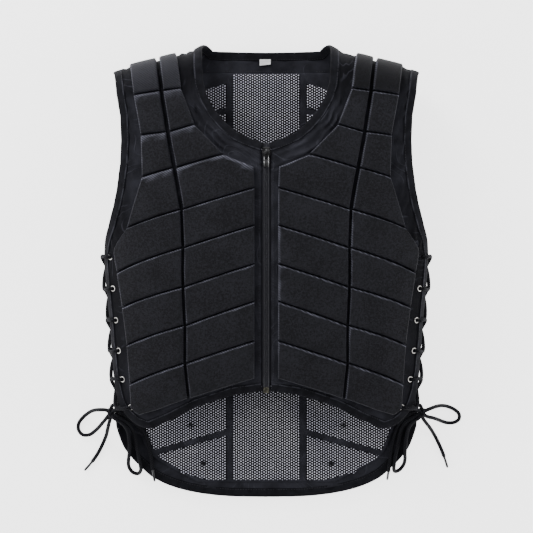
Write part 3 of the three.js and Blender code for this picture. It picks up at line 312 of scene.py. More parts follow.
def patch(bottom, top, inner, outer, us, vs, ends=by_length, sides=by_length):
    """A grid of places that fills four edges, at shares us across and vs up."""
    us, vs = np.asarray(us), np.asarray(vs)
    u, v = us[None, :, None], vs[:, None, None]
    low, high = place_on(bottom, us, ends)[None], place_on(top, us, ends)[None]
    near, far = place_on(inner, vs, sides)[:, None], place_on(outer, vs, sides)[:, None]
    flat = (bottom[0] * (1 - u) + bottom[-1] * u) * (1 - v) + (top[0] * (1 - u) + top[-1] * u) * v
    return low * (1 - v) + high * v + near * (1 - u) + far * u - flat


NOISE_CELLS = 64
NOISE_SHIFT = (31.4, 27.9)
NOISE_GAIN = 1.4


def noise(x, y, size, seed):
    """A gentle random height, about -1 to 1, over a plan; the same on every run."""
    random = np.random.default_rng(SEED + seed)
    angles = random.uniform(0, 2 * math.pi, (NOISE_CELLS, NOISE_CELLS))
    x, y = np.asarray(x) / size + NOISE_SHIFT[0], np.asarray(y) / size + NOISE_SHIFT[1]
    i, j = np.floor(x).astype(int), np.floor(y).astype(int)
    fx, fy = x - i, y - j
    fade = lambda t: t * t * t * (t * (t * 6 - 15) + 10)

    def corner(a, b):
        angle = angles[(i + a) % NOISE_CELLS, (j + b) % NOISE_CELLS]
        return np.cos(angle) * (fx - a) + np.sin(angle) * (fy - b)

    low = corner(0, 0) + (corner(1, 0) - corner(0, 0)) * fade(fx)
    high = corner(0, 1) + (corner(1, 1) - corner(0, 1)) * fade(fx)
    return (low + (high - low) * fade(fy)) * NOISE_GAIN


def ease(low, high, x):
    """0 at low and 1 at high, softly between."""
    t = np.clip((x - low) / (high - low), 0, 1)
    return t * t * (3 - 2 * t)


def distance_to_line(points, line):
    """Plan distance of points (n, 2) to an open line of points (m, 2)."""
    a, b = line[:-1], line[1:]
    step = b - a
    t = ((points[:, None] - a) * step).sum(-1) / np.maximum((step * step).sum(-1), 1e-9)
    foot = a + np.clip(t, 0, 1)[..., None] * step
    return np.sqrt((((points[:, None] - foot) ** 2).sum(-1)).min(1))


# Meshes
class Build:
    """Gathers points and faces of one piece, with a UV for each corner where there is one."""

    def __init__(self):
        self.points, self.faces, self.uvs, self.count = [], [], [], 0

    def add(self, points, faces, uvs=None):
        points = np.asarray(points, float).reshape(-1, 3)
        self.faces += [tuple(int(i) + self.count for i in face) for face in faces]
        self.uvs += uvs if uvs is not None else [[(0, 0)] * len(face) for face in faces]
        self.points.append(points)
        self.count += len(points)
        return self

    def mesh(self, name):
        mesh = bpy.data.meshes.new(name)
        points = np.concatenate(self.points) * MM
        mesh.from_pydata([tuple(p) for p in points], [], self.faces)
        layer = mesh.uv_layers.new(name="UVMap")
        layer.data.foreach_set("uv", np.array([c for uv in self.uvs for c in uv], np.float32).ravel())
        mesh.validate()
        return mesh

    def piece(self, name, material, node=None, body=VEST, smooth_faces=True):
        mesh = self.mesh(name)
        if smooth_faces:
            mesh.shade_smooth()
        return finished(name, mesh, material, node, body)


PIECES = {}


def finished(name, mesh, material, nodes=None, body=VEST):
    piece = PIECES[name] = bpy.data.objects.new(name, mesh)
    bpy.context.scene.collection.objects.link(piece)
    mesh.materials.clear()
    mesh.materials.append(material)
    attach(piece, body)
    if nodes:
        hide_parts(*([nodes] if isinstance(nodes, str) else nodes))
    return piece


def add_value(mesh, name, values):
    values = np.clip(values, 0, 1).astype(np.float32)
    mesh.attributes.new(name, "FLOAT", "POINT").data.foreach_set("value", values)


def grid_faces(rows, columns, flip=False):
    base = np.arange(rows * columns).reshape(rows, columns)
    quads = np.stack([base[:-1, :-1], base[:-1, 1:], base[1:, 1:], base[1:, :-1]], axis=-1).reshape(-1, 4)
    return quads[:, ::-1] if flip else quads


def wall(build, outer, inner, flip=False):
    """A closed wall between two grids of points of one shape; outer faces the way that its order turns."""
    rows, columns = outer.shape[:2]
    count = rows * columns
    faces = [*grid_faces(rows, columns, flip), *(grid_faces(rows, columns, not flip) + count)]
    base = np.arange(count).reshape(rows, columns)
    ring = np.concatenate([base[0, :-1], base[:-1, -1], base[-1, :0:-1], base[:0:-1, 0]])
    for a, b in zip(ring, np.roll(ring, -1)):
        side = (a, a + count, b + count, b)
        faces.append(side[::-1] if flip else side)
    return build.add(np.concatenate([outer.reshape(-1, 3), inner.reshape(-1, 3)]), faces)


def steps_along(line):
    """How far every point of a line is from its start, along it."""
    return np.concatenate([[0], np.cumsum(np.linalg.norm(np.diff(line, axis=0), axis=1))])


def tube(build, line, radius, sides=12, closed=False):
    """A round bar along a line of points, with u along it in millimetres and v around it."""
    line = np.asarray(line, float)
    ahead = np.roll(line, -1, axis=0) - np.roll(line, 1, axis=0)
    if not closed:
        ahead[0], ahead[-1] = line[1] - line[0], line[-1] - line[-2]
    ahead /= np.linalg.norm(ahead, axis=1, keepdims=True)
    across = np.cross(ahead[0], [0.0, 0.0, 1.0])
    if np.linalg.norm(across) < 1e-3:
        across = np.array([1.0, 0.0, 0.0])
    angles = np.arange(sides) / sides * 2 * math.pi
    rings = []
    for middle, direction, reach in zip(line, ahead, np.broadcast_to(radius, len(line))):
        across = across - direction * (across @ direction)
        across /= np.linalg.norm(across)
        other = np.cross(direction, across)
        rings.append(middle + reach * (np.cos(angles)[:, None] * across + np.sin(angles)[:, None] * other))
    way = steps_along(line)
    count = len(line)
    faces, uvs = [], []
    for i in range(count if closed else count - 1):
        j = (i + 1) % count
        end = way[i] + (way[1] - way[0]) if closed and j == 0 else way[j]
        for k in range(sides):
            m = (k + 1) % sides
            faces.append((i * sides + k, i * sides + m, j * sides + m, j * sides + k))
            low, high = k / sides, (k + 1) / sides
            uvs.append([(way[i], low), (way[i], high), (end, high), (end, low)])
    points = np.concatenate(rings)
    if not closed:
        points = np.concatenate([points, line[:1], line[-1:]])
        first, last = count * sides, count * sides + 1
        for k in range(sides):
            m = (k + 1) % sides
            faces += [(first, m, k), (last, (count - 1) * sides + k, (count - 1) * sides + m)]
            uvs += [[(0, 0)] * 3, [(way[-1], 0)] * 3]
    return build.add(points, faces, uvs)


SPLINE_CELLS = 24


def centripetal(points, step):
    """A smooth line through points, with even steps."""
    points = np.asarray(points, float)
    ends = [2 * points[0] - points[1]], [2 * points[-1] - points[-2]]
    p = np.concatenate([ends[0], points, ends[1]])
    t = np.linspace(0, 1, SPLINE_CELLS, endpoint=False)[:, None]
    line = []
    for i in range(1, len(p) - 2):
        dt = [max(np.linalg.norm(p[k + 1] - p[k]) ** 0.5, 1e-4) for k in (i - 1, i, i + 1)]
        before, after = dt[0] + dt[1], dt[1] + dt[2]
        step_in = (p[i] - p[i - 1]) / dt[0] - (p[i + 1] - p[i - 1]) / before + (p[i + 1] - p[i]) / dt[1]
        step_out = (p[i + 1] - p[i]) / dt[1] - (p[i + 2] - p[i]) / after + (p[i + 2] - p[i + 1]) / dt[2]
        line.append(
            (2 * t**3 - 3 * t**2 + 1) * p[i] + (t**3 - 2 * t**2 + t) * (step_in * dt[1])
            + (3 * t**2 - 2 * t**3) * p[i + 1] + (t**3 - t**2) * (step_out * dt[1])
        )
    return evenly(np.concatenate([*line, points[-1:]]), step)


def evenly(line, step):
    way = steps_along(line)
    return at_ways(way, line, np.linspace(0, way[-1], max(int(round(way[-1] / step)), 2) + 1))


def at_ways(way, rows, goals):
    """Rows of three values read at goals along a way."""
    return np.stack([np.interp(goals, way, rows[:, k]) for k in range(3)], axis=-1)


# Materials
class Value:
    """A socket that carries numbers, so that shader maths reads as maths."""

    def __init__(self, shader, socket):
        self.shader, self.socket = shader, socket

    def maths(self, operation, *others):
        made = self.shader.make("ShaderNodeMath", {"operation": operation}, [self, *others])
        return Value(self.shader, made.outputs[0])

    def __add__(self, other):
        return self.maths("ADD", other)

    def __sub__(self, other):
        return self.maths("SUBTRACT", other)

    def __mul__(self, other):
        return self.maths("MULTIPLY", other)

    def __truediv__(self, other):
        return self.maths("DIVIDE", other)

    def __rsub__(self, other):
        return self.maths("MULTIPLY", -1.0) + other

    __radd__ = __add__
    __rmul__ = __mul__

    def wave(self, pitch):
        """A wave from -1 to 1 with one crest in every pitch."""
        return (self * (2 * math.pi / pitch)).maths("SINE")

    def floor(self):
        return self.maths("FLOOR")

    def size(self):
        return self.maths("ABSOLUTE")

    def root(self):
        return self.maths("SQRT")

    def least(self, other):
        return self.maths("MINIMUM", other)

    def most(self, other):
        return self.maths("MAXIMUM", other)

    def ramp(self, low, high):
        """0 below low and 1 above high, softly between."""
        settings = {"interpolation_type": "SMOOTHSTEP"}
        inputs = {"Value": self, "From Min": low, "From Max": high}
        return Value(self.shader, self.shader.make("ShaderNodeMapRange", settings, inputs).outputs["Result"])


def make_node(tree, kind, settings=None, inputs=None):
    """Adds a node to a tree; its inputs, by name or in order, are sockets, Values or plain values."""
    node = tree.nodes.new(kind)
    for key, value in (settings or {}).items():
        setattr(node, key, value)
    inputs = inputs or {}
    for key, value in inputs.items() if isinstance(inputs, dict) else enumerate(inputs):
        value = value.socket if isinstance(value, Value) else value
        if isinstance(value, bpy.types.NodeSocket):
            tree.links.new(value, node.inputs[key])
        else:
            node.inputs[key].default_value = value
    return node


class Shader:
    """One material's nodes."""

    def __init__(self, name, roughness=0.8, metallic=0.0, sheen=0.0, specular=0.5):
        self.material = bpy.data.materials.new(name)
        self.material.use_nodes = True
        self.tree = self.material.node_tree
        self.surface = self.tree.nodes["Principled BSDF"]
        settings = {"Roughness": roughness, "Metallic": metallic, "Sheen Weight": sheen,
                    "Sheen Roughness": 0.45, "Specular IOR Level": specular}
        for name, value in settings.items():
            self.surface.inputs[name].default_value = value

    def make(self, kind, settings=None, inputs=None):
        return make_node(self.tree, kind, settings, inputs)

    def place(self, source="Object"):
        """The three coordinates in millimetres, or a UV map's two."""
        coordinates = self.make("ShaderNodeTexCoord").outputs[source]
        parts = self.make("ShaderNodeSeparateXYZ", inputs=[coordinates])
        scale = 1 / MM if source == "Object" else 1.0
        return [Value(self, out) * scale for out in parts.outputs]

    def cloud(self, size, detail=2.0, rough=0.5):
        """Soft random tones over Object coordinates, of a size in millimetres."""
        coordinates = self.make("ShaderNodeTexCoord").outputs["Object"]
        inputs = {"Vector": coordinates, "Scale": 1000.0 / size, "Detail": detail, "Roughness": rough}
        return Value(self, self.make("ShaderNodeTexNoise", inputs=inputs).outputs["Fac"])

    def attribute(self, name):
        return Value(self, self.make("ShaderNodeAttribute", {"attribute_name": name}).outputs["Fac"])

    def mix(self, factor, low, high):
        node = self.make("ShaderNodeMix", {"data_type": "RGBA"}, {0: factor})
        for index, colour in ((6, low), (7, high)):
            if isinstance(colour, bpy.types.NodeSocket):
                self.tree.links.new(colour, node.inputs[index])
            else:
                node.inputs[index].default_value = (*colour, 1.0)
        return node.outputs[2]

    def colour(self, socket):
        self.tree.links.new(socket, self.surface.inputs["Base Color"])

    def rough(self, value):
        self.tree.links.new(value.socket, self.surface.inputs["Roughness"])

    def bump(self, height, depth, strength=1.0):
        """height is from 0 to 1 and stands for depth millimetres."""
        inputs = {"Height": height, "Distance": depth * MM, "Strength": strength}
        made = self.make("ShaderNodeBump", inputs=inputs)
        self.tree.links.new(made.outputs["Normal"], self.surface.inputs["Normal"])


def grey(level, cool=0.3):
    """A grey that leans to blue by the share cool."""
    return (level, level * (1 + cool * 0.05), level * (1 + cool))


def lattice(x, y, pitch):
    """Distance, in pitches, to the nearest point of columns whose neighbours are half a step off."""
    across, up = pitch * math.sqrt(3), pitch
    nearest = None
    for shift in (0.0, 0.5):
        a = x / across + (shift + 0.5)
        b = y / up + (shift + 0.5)
        a = (a - a.floor() - 0.5) * across
        b = (b - b.floor() - 0.5) * up
        far = (a * a + b * b).root() * (1 / pitch)
        nearest = far if nearest is None else nearest.least(far)
    return nearest


PINHOLE_PITCH = 1.55
TWILL_PITCH = 3.3


def block_cloth():
    """Fine close mesh over foam: pinholes in a charcoal cloth, with painted highlights along the blocks'
    rims, a faint pale line of wear round their edges, and painted light and shade on the shoulders.
    """
    shader = Shader("block_cloth", roughness=0.7, specular=0.12)
    x, y, z = shader.place()
    hole = lattice(x, y + z * 0.4, PINHOLE_PITCH).ramp(0.42, 0.2)
    tone = shader.cloud(34, 3) * 0.25 + shader.cloud(3.4, 2) * 0.4 + shader.cloud(1.7, 1) * 0.35
    base = shader.mix(tone.ramp(0.36, 0.64), grey(0.006), grey(0.018))
    twill = (x * 0.7 + y).wave(TWILL_PITCH) * 0.4 + 0.6
    # Painted light and shade on the shoulders: the left shoulder's cloth is painted paler so that its twill
    # shows, and the right one's is painted darker as shade
    shoulder_light_and_shade = y.ramp(228, 262)
    base = shader.mix(shoulder_light_and_shade * x.ramp(30, -30) * twill * 0.45, base, grey(0.05))
    base = shader.mix(shoulder_light_and_shade * x.ramp(-30, 30) * 0.6, base, grey(0.002))
    # Painted highlight: pale rims, strongest along the blocks' edges that face the light
    base = shader.mix(shader.attribute("rim") * twill, base, grey(0.15))
    shader.colour(shader.mix(hole * 0.6, base, grey(0.004)))
    shader.rough(tone * 0.2 + 0.6)
    shader.bump((1 - hole) * 0.6 + shader.cloud(2.4, 2) * 0.8, 0.3, 0.9)
    return shader.material


SHELL_WEAVE = 0.9


def shell_cloth(name, light):
    """Plain dull lining cloth with a fine weave and small creases, painted darker as shade where it turns
    from the light and painted paler as highlights on the creases' crests.
    """
    shader = Shader(name, roughness=0.75, specular=0.06)
    x, y, z = shader.place()
    weave = x.wave(SHELL_WEAVE) * (y + z).wave(SHELL_WEAVE)
    base = shader.mix(shader.cloud(22, 3).ramp(0.3, 0.72), grey(light * 0.7), grey(light * 1.35))
    # Painted shade: darker over the shoulders' roll and along the steep sides, which turn from the light
    turned = (y.ramp(205, 280) * z.ramp(40, 70)).most(x.size().ramp(172, 208))
    base = shader.mix(turned * 0.85, base, grey(light * 0.2))
    # Painted highlight: paler streaks along the creases' crests; the bump raises the same crests
    flow = (shader.cloud(90, 1) * (2 * math.pi * 22) + shader.cloud(12, 1) * 2).maths("SINE")
    crest = flow.ramp(0.8, 1.0) * shader.cloud(31, 1).ramp(0.46, 0.62)
    shader.colour(shader.mix(crest * 0.4, base, grey(0.055)))
    shader.bump(weave * 0.25 + crest * 1.2 + shader.cloud(7, 4, 0.6) * 1.2, 0.6, 0.8)
    return shader.material


RIBS_ROUND = 26
CROSS_RIB = 0.8


def binding_tape():
    """Ribbed stretch tape with a painted highlight along its edge; u runs along it in millimetres and v round
    it.
    """
    shader = Shader("binding_tape", roughness=0.72, specular=0.05)
    u, v, _ = shader.place("UV")
    rib = v.wave(1 / RIBS_ROUND) * 0.5 + 0.5
    cross = u.wave(CROSS_RIB) * 0.5 + 0.5
    tone = shader.cloud(9, 3)
    base = shader.mix(tone.ramp(0.25, 0.75), grey(0.006), grey(0.0115))
    # Painted highlight: a thin pale line, in patches, along the tape's edge
    edge = (v - 0.045).size().ramp(0.045, 0.01) * shader.cloud(13, 2).ramp(0.36, 0.6)
    shader.colour(shader.mix(edge * 0.75, base, grey(0.04)))
    shader.bump(rib * 0.5 + cross * 0.3 + tone * 0.6, 0.25, 0.7)
    return shader.material


MESH_PITCH = 3.7


def lining_mesh():
    """Black knitted mesh with round holes; pale foam shows through them."""
    shader = Shader("lining_mesh", roughness=0.8, specular=0.1)
    x, y, _ = shader.place()
    far = lattice(x, y, MESH_PITCH)
    foam = shader.mix(shader.cloud(60, 2).ramp(0.3, 0.7), (0.68, 0.68, 0.82), (0.9, 0.9, 1.0))
    foam = shader.mix(shader.attribute("vent"), foam, grey(0.02))
    threads = shader.mix(shader.cloud(3, 2), grey(0.002), grey(0.005))
    shader.colour(shader.mix(far.ramp(0.268, 0.192), threads, foam))
    shader.bump(far.ramp(0.25, 0.44), 0.7, 0.9)
    return shader.material


BRAID_PITCH = 3.4
BRAID_STRANDS = 4


def lace_braid():
    """Round braid: two sets of strands that cross, from the UV along and around the cord."""
    shader = Shader("lace_braid", roughness=0.8, specular=0.1)
    u, v, _ = shader.place("UV")
    braid = (u / BRAID_PITCH + v * BRAID_STRANDS).wave(1).most((u / BRAID_PITCH - v * BRAID_STRANDS).wave(1))
    shader.colour(shader.mix(braid.ramp(-0.2, 0.9), grey(0.0032), grey(0.012)))
    shader.bump(braid * 0.5 + shader.cloud(6, 2) * 0.3, 0.5, 0.9)
    return shader.material


def zip_cloth():
    """Herringbone zip tape."""
    shader = Shader("zip_cloth", roughness=0.78, specular=0.15)
    x, y, _ = shader.place()
    slant = (x.size() * 1.1 + y).wave(1.3) * 0.5 + 0.5
    shader.colour(shader.mix(slant * 0.5 + shader.cloud(8, 2) * 0.5, grey(0.011), grey(0.024)))
    shader.bump(slant, 0.2, 0.6)
    return shader.material


def moulded_teeth():
    shader = Shader("zip_coil", roughness=0.38)
    tone = shader.cloud(2.5, 2)
    shader.colour(shader.mix(tone, grey(0.016), grey(0.04)))
    shader.rough(tone * 0.25 + 0.28)
    shader.bump(shader.cloud(0.8, 2), 0.05, 0.5)
    return shader.material


def worn_metal(name, dark, bright, roughness, patch_size=3.0):
    """Metal whose dark finish has worn to bare metal in places."""
    shader = Shader(name, roughness=roughness, metallic=1.0)
    wear = shader.cloud(patch_size, 4, 0.6)
    shader.colour(shader.mix(wear.ramp(0.42, 0.66), dark, bright))
    shader.rough(wear * 0.25 + (roughness - 0.1))
    shader.bump(shader.cloud(0.9, 3), 0.06, 0.5)
    return shader.material


def label_satin():
    shader = Shader("label_satin", roughness=0.45, sheen=0.2)
    x, y, _ = shader.place()
    shader.colour(shader.mix(shader.cloud(4, 2), (0.9, 0.9, 0.95), (1.0, 1.0, 1.0)))
    shader.bump(x.wave(0.45) * y.wave(0.45) * 0.5 + 0.5, 0.05, 0.5)
    return shader.material


def mottled(name, roughness, specular, dark, light, tone_size, bump_size, depth, strength):
    """A plain material of two close greys with a faint grain."""
    shader = Shader(name, roughness=roughness, specular=specular)
    shader.colour(shader.mix(shader.cloud(*tone_size), grey(dark), grey(light)))
    shader.bump(shader.cloud(*bump_size), depth, strength)
    return shader.material


BLOCK = block_cloth()
CLOTH = shell_cloth("shell_cloth", 0.021)
FACING = shell_cloth("facing_cloth", 0.026)
BINDING = binding_tape()
MESH = lining_mesh()
BRAID = lace_braid()
TAPE_CLOTH = zip_cloth()
TEETH = moulded_teeth()
DARK_METAL = worn_metal("slider_metal", (0.03, 0.03, 0.031), (0.11, 0.11, 0.113), 0.26, 9.0)
# Bright metal for the pull's edge rails, which stand for the glints on its edges: painted highlight
BRIGHT_METAL = worn_metal("pull_glint_metal", (0.42, 0.42, 0.43), (0.75, 0.75, 0.76), 0.22, 5.0)
BROWN_METAL = worn_metal("stop_metal", (0.045, 0.043, 0.034), (0.12, 0.115, 0.09), 0.5)
NICKEL = worn_metal("eyelet_nickel", (0.42, 0.41, 0.39), (0.78, 0.77, 0.74), 0.28, 6.0)
SATIN = label_satin()
AGLET_PLASTIC = mottled("aglet_plastic", 0.3, 0.5, 0.0096, 0.0156, (3, 2), (1.5, 2), 0.04, 0.4)
THREAD = mottled("stitch_thread", 0.6, 0.4, 0.012, 0.03, (2, 1), (0.5, 1), 0.05, 0.5)


# Camera and light
SENSOR = 36.0


def set_camera():
    data = bpy.data.cameras.new("camera")
    reach = CAMERA_HEIGHT - SHARP_HEIGHT * MM
    data.sensor_width = SENSOR
    data.lens = SENSOR * reach / (IMAGE * MM_PER_PIXEL * MM)
    camera = bpy.data.objects.new("camera", data)
    centre = IMAGE / 2
    camera.location = (
        (centre - MIDDLE_PIXEL[0]) * MM_PER_PIXEL * MM,
        (MIDDLE_PIXEL[1] - centre) * MM_PER_PIXEL * MM,
        CAMERA_HEIGHT,
    )
    bpy.context.scene.collection.objects.link(camera)
    bpy.context.scene.camera = camera


# Lights: name, place in metres, size and power; all of them point at the middle of the floor
LIGHTS = (
    ("key", (-1.25, 2.1, 1.2), 1.1, 60),
    ("left_fill", (-2.2, -0.2, 0.9), 1.4, 30),
    ("right_fill", (2.2, -0.1, 1.0), 1.4, 30),
)
WORLD_GLOW = 0.62
FLOOR_HALF = 6


def area_light(name, place, size, power):
    data = bpy.data.lights.new(name, "AREA")
    data.size = size
    data.energy = power
    light = bpy.data.objects.new(name, data)
    light.location = place
    light.rotation_euler = (-Vector(place)).to_track_quat("-Z", "Y").to_euler()
    bpy.context.scene.collection.objects.link(light)


def set_stage():
    world = bpy.data.worlds.new("studio")
    world.use_nodes = True
    world.node_tree.nodes["Background"].inputs["Color"].default_value = (1, 1, 1, 1)
    world.node_tree.nodes["Background"].inputs["Strength"].default_value = WORLD_GLOW
    bpy.context.scene.world = world
    for light in LIGHTS:
        area_light(*light)
    mesh = bpy.data.meshes.new("floor")
    corners = [(x * FLOOR_HALF, y * FLOOR_HALF, 0) for x, y in ((-1, -1), (1, -1), (1, 1), (-1, 1))]
    mesh.from_pydata(corners, [], [(0, 1, 2, 3)])
    floor = bpy.data.objects.new("floor", mesh)
    shader = Shader("floor_paint", roughness=0.9)
    shader.colour(shader.mix(shader.cloud(900, 2), (0.86, 0.86, 0.86), (0.9, 0.9, 0.9)))
    shader.surface.inputs["Emission Color"].default_value = (1, 1, 1, 1)
    shader.surface.inputs["Emission Strength"].default_value = FLOOR_GLOW
    mesh.materials.append(shader.material)
    bpy.context.scene.collection.objects.link(floor)


# Cords
def knot_centre(side):
    y = KNOT_AT * LENGTH
    return np.array([side * (half_width(y) + KNOT_OUT), y, KNOT_HEIGHT])


STRAND_STEP = 1.2
STRAND_SIDES = 12
KNOT_START = 0.3  # share of the way from the knot's middle to a near end where a strand starts
FLOOR_CLEAR = 0.2
# The aglet's radius in shares of the lace's diameter: the first two points, the middle, the last two
AGLET_FOOT, AGLET_BODY, AGLET_TIP = (0.42, 0.4), 0.33, (0.29, 0.2)


def strand_line(name, points):
    """A strand's line above the floor, with the ends that are near the knot taken into it."""
    middle = knot_centre(LEFT if name.endswith("left") else RIGHT)
    points = [np.array(point, float) for point in points]
    into = [
        [middle + (end - middle) * KNOT_START] if np.linalg.norm(end - middle) < KNOT_REACH else []
        for end in (points[0], points[-1])
    ]
    line = centripetal(into[0] + points + into[1], STRAND_STEP)
    line[:, 2] = np.maximum(line[:, 2], LACE / 2 + FLOOR_CLEAR)
    return line


def make_aglet(name, line):
    radii = np.full(len(line), LACE * AGLET_BODY)
    radii[:2], radii[-2:] = LACE * np.array(AGLET_FOOT), LACE * np.array(AGLET_TIP)
    aglet = tube(Build(), line, radii, STRAND_SIDES).piece(name, AGLET_PLASTIC)
    return aglet


def make_strands():
    for name, points in STRANDS.items():
        line = strand_line(name, points)
        is_tail = "tail" in name
        ends = []
        if is_tail:
            kept = len(line) - int(AGLET / STRAND_STEP)
            ends = [make_aglet(name.replace("bow_tail", "aglet"), line[kept - 1:])]
            line = line[:kept]
        cord = tube(Build(), line, LACE / 2, STRAND_SIDES).piece(name, BRAID, name)


# Shells
NECK_CELLS = 44
SEAM_CELLS = 22


def resampled(places, count):
    return place_on(places, np.linspace(0, 1, count + 1))


def shoulder_seam(side, cells):
    x = side * np.linspace(SEAM_START, SEAM_TIP, cells + 1) * HALF_CHEST
    return to_surface(x, np.full(cells + 1, LENGTH / 2))


BEND_SHARE = 0.84  # where the shells' rows get closer for the shoulders' bend
ROWS_BELOW, ROWS_ABOVE = 110, 42


def rows_of_shell():
    below = np.linspace(0, BEND_SHARE, ROWS_BELOW)[:-1]
    return np.concatenate([below, np.linspace(BEND_SHARE, 1, ROWS_ABOVE)])


def front_grid(side):
    cells = NECK_CELLS + SEAM_CELLS
    bottom = resampled(edge_places(FRONT_HEM, side), cells)
    neck = resampled(edge_places(FRONT_NECK, side), NECK_CELLS)
    top = np.concatenate([neck, shoulder_seam(side, SEAM_CELLS)[1:]])
    outer = edge_places(FRONT_EDGE, side)
    inner = np.array([bottom[0], top[0]])
    us = np.linspace(0, 1, cells + 1)
    return patch(bottom, top, inner, outer, us, rows_of_shell(), by_count, by_height)


BACK_NECK_CELLS = 32
BACK_SEAM_CELLS = 40


# Where the back's columns meet the hem: closer together towards its outer end
BACK_COLUMNS = (0, 0.24, 0.4, 0.52, 0.64, 0.74, 0.82, 0.89, 0.95, 1)
HEM_POINTS = 40


def back_grid():
    def half(side):
        cells = BACK_NECK_CELLS + BACK_SEAM_CELLS
        us = np.linspace(0, 1, cells + 1)
        across = np.linspace(0, BACK_HEM[-1][1], HEM_POINTS)
        hem = edge_places(np.stack([smooth(BACK_HEM[:, 1], BACK_HEM[:, 0], across), across], axis=1), side)
        bottom = place_on(hem, np.interp(us, np.linspace(0, 1, len(BACK_COLUMNS)), BACK_COLUMNS))
        neck = resampled(edge_places(BACK_NECK, side), BACK_NECK_CELLS)
        top = np.concatenate([neck, shoulder_seam(side, BACK_SEAM_CELLS)[1:]])
        inner, outer = np.array([bottom[0], top[0]]), edge_places(BACK_EDGE, side)
        return patch(bottom, top, inner, outer, us, rows_of_shell(), by_count, by_height)

    left, right = half(LEFT), half(RIGHT)
    return np.concatenate([left[:, :0:-1], right], axis=1)


GRIDS = {LEFT: front_grid(LEFT), RIGHT: front_grid(RIGHT), "back": back_grid()}


EDGE_POINTS = 50
FOLD_SHARPNESS = 1.6
ARMHOLE_START = 8  # the row of FRONT_EDGE from which the edge is the armhole


def front_creases(side, grid):
    """How far the front shell's cloth stands off in the margins beside the neck, the armhole and the hem."""
    point = surface_point(FRONT, grid)
    flat = point[..., :2].reshape(-1, 2)
    x, y = point[..., 0], point[..., 1]

    def distance(table):
        edge = surface_point(FRONT, resampled(edge_places(table, side), EDGE_POINTS))[:, :2]
        return distance_to_line(flat, edge).reshape(grid.shape[:2])

    def folds(way, wander, wander_size, seed, patch_size):
        waves = 0.5 + 0.5 * np.sin(way + wander * noise(x, y, wander_size, seed + side))
        patches = 0.3 + 0.7 * ease(-0.25, 0.35, noise(x, y, patch_size, seed + 11 + side))
        return waves**FOLD_SHARPNESS * patches

    tables = FRONT_NECK, FRONT_EDGE[ARMHOLE_START:], FRONT_HEM
    from_neck, from_arm, from_hem = (distance(table) for table in tables)
    near_neck = ease(0.5, 5, from_neck) * ease(40, 20, from_neck)
    near_arm = ease(0.5, 5, from_arm) * ease(26, 14, from_arm) * ease(0, 30, y)
    near_hem = ease(0.5, 3, from_hem) * ease(17, 8, from_hem)
    return (
        2.5 * folds(from_neck / 1.45, 3.4, 26, 3, 24) * near_neck
        + 2.3 * folds(y / 3.4 + from_arm / 2, 3.6, 26, 5, 26) * near_arm
        + 1.9 * folds(from_hem / 1.2 + x / 9, 3.2, 20, 7, 20) * near_hem
    )


NUDGE = 1e-3


def eyelet_place(face, side, along, on=0.0):
    """An eyelet's place on a shell, or one that is on millimetres further out past the edge."""
    table = FRONT_EDGE if face == FRONT else BACK_EDGE
    across = smooth(table[:, 0], table[:, 1], along)
    at = to_surface(side * across * HALF_CHEST, along * LENGTH)
    step = np.array([NUDGE, 0.0])
    reach = np.linalg.norm(surface_point(face, at + step) - surface_point(face, at - step)) / (2 * NUDGE)
    return np.array([at[0] - side * (EYELET_INSET - on) / reach, at[1]])


DRILL_HALF = 7


def with_eyelet_holes(mesh, places):
    """Cuts round holes through a shell at (face, at) places."""
    drills = Build()
    for face, at in places:
        normal = outward(face, at) * DRILL_HALF
        middle = offset_point(face, at, -SHELL / 2)
        tube(drills, [middle - normal, middle + normal], EYELET_HOLE, 16)
    cutter = bpy.data.objects.new("drills", drills.mesh("drills"))
    shell = bpy.data.objects.new("uncut", mesh)
    for part in (cutter, shell):
        bpy.context.scene.collection.objects.link(part)
    cut = shell.modifiers.new("holes", "BOOLEAN")
    cut.operation, cut.object, cut.solver = "DIFFERENCE", cutter, "EXACT"
    result = evaluated_mesh(shell)
    bpy.data.objects.remove(cutter)
    return result


def evaluated_mesh(carrier):
    """The mesh that an object's modifiers make; the object is removed."""
    result = bpy.data.meshes.new_from_object(carrier.evaluated_get(bpy.context.evaluated_depsgraph_get()))
    bpy.data.objects.remove(carrier)
    return result


def layer(build, face, grid, outer, inner):
    """A closed layer of cloth or foam over a grid of places, between two heights over the shell's face."""
    outer, inner = (np.broadcast_to(height, grid.shape[:2]) for height in (outer, inner))
    corner = surface_point(face, grid[:2, :2])
    across, up = corner[0, 1] - corner[0, 0], corner[1, 0] - corner[0, 0]
    turned = np.cross(across, up) @ outward(face, grid[0, 0]) < 0
    flip = turned != (outer.mean() < inner.mean())
    return wall(build, offset_point(face, grid, outer), offset_point(face, grid, inner), flip)


def shell_piece(name, face, grid, outer, inner, sides):
    """A cloth panel between two heights, with the eyelet holes of the given sides."""
    places = [(face, eyelet_place(face, side, along)) for side in sides for along in EYELETS]
    mesh = with_eyelet_holes(layer(Build(), face, grid, outer, inner).mesh(name), places)
    mesh.shade_smooth()
    piece = finished(name, mesh, CLOTH, name)


# Where the back's cloth lies in folds: (from, to) of each soft border, in y or, for the last, in x
COLLAR_FOLDS = ((262, 272), (299, 292), (92, 70))
HEM_FOLDS = ((-291, -294), (-306, -302))
COLLAR_DEPTH, HEM_DEPTH, HEM_BAND_DEPTH = 1.6, 0.8, 1.3


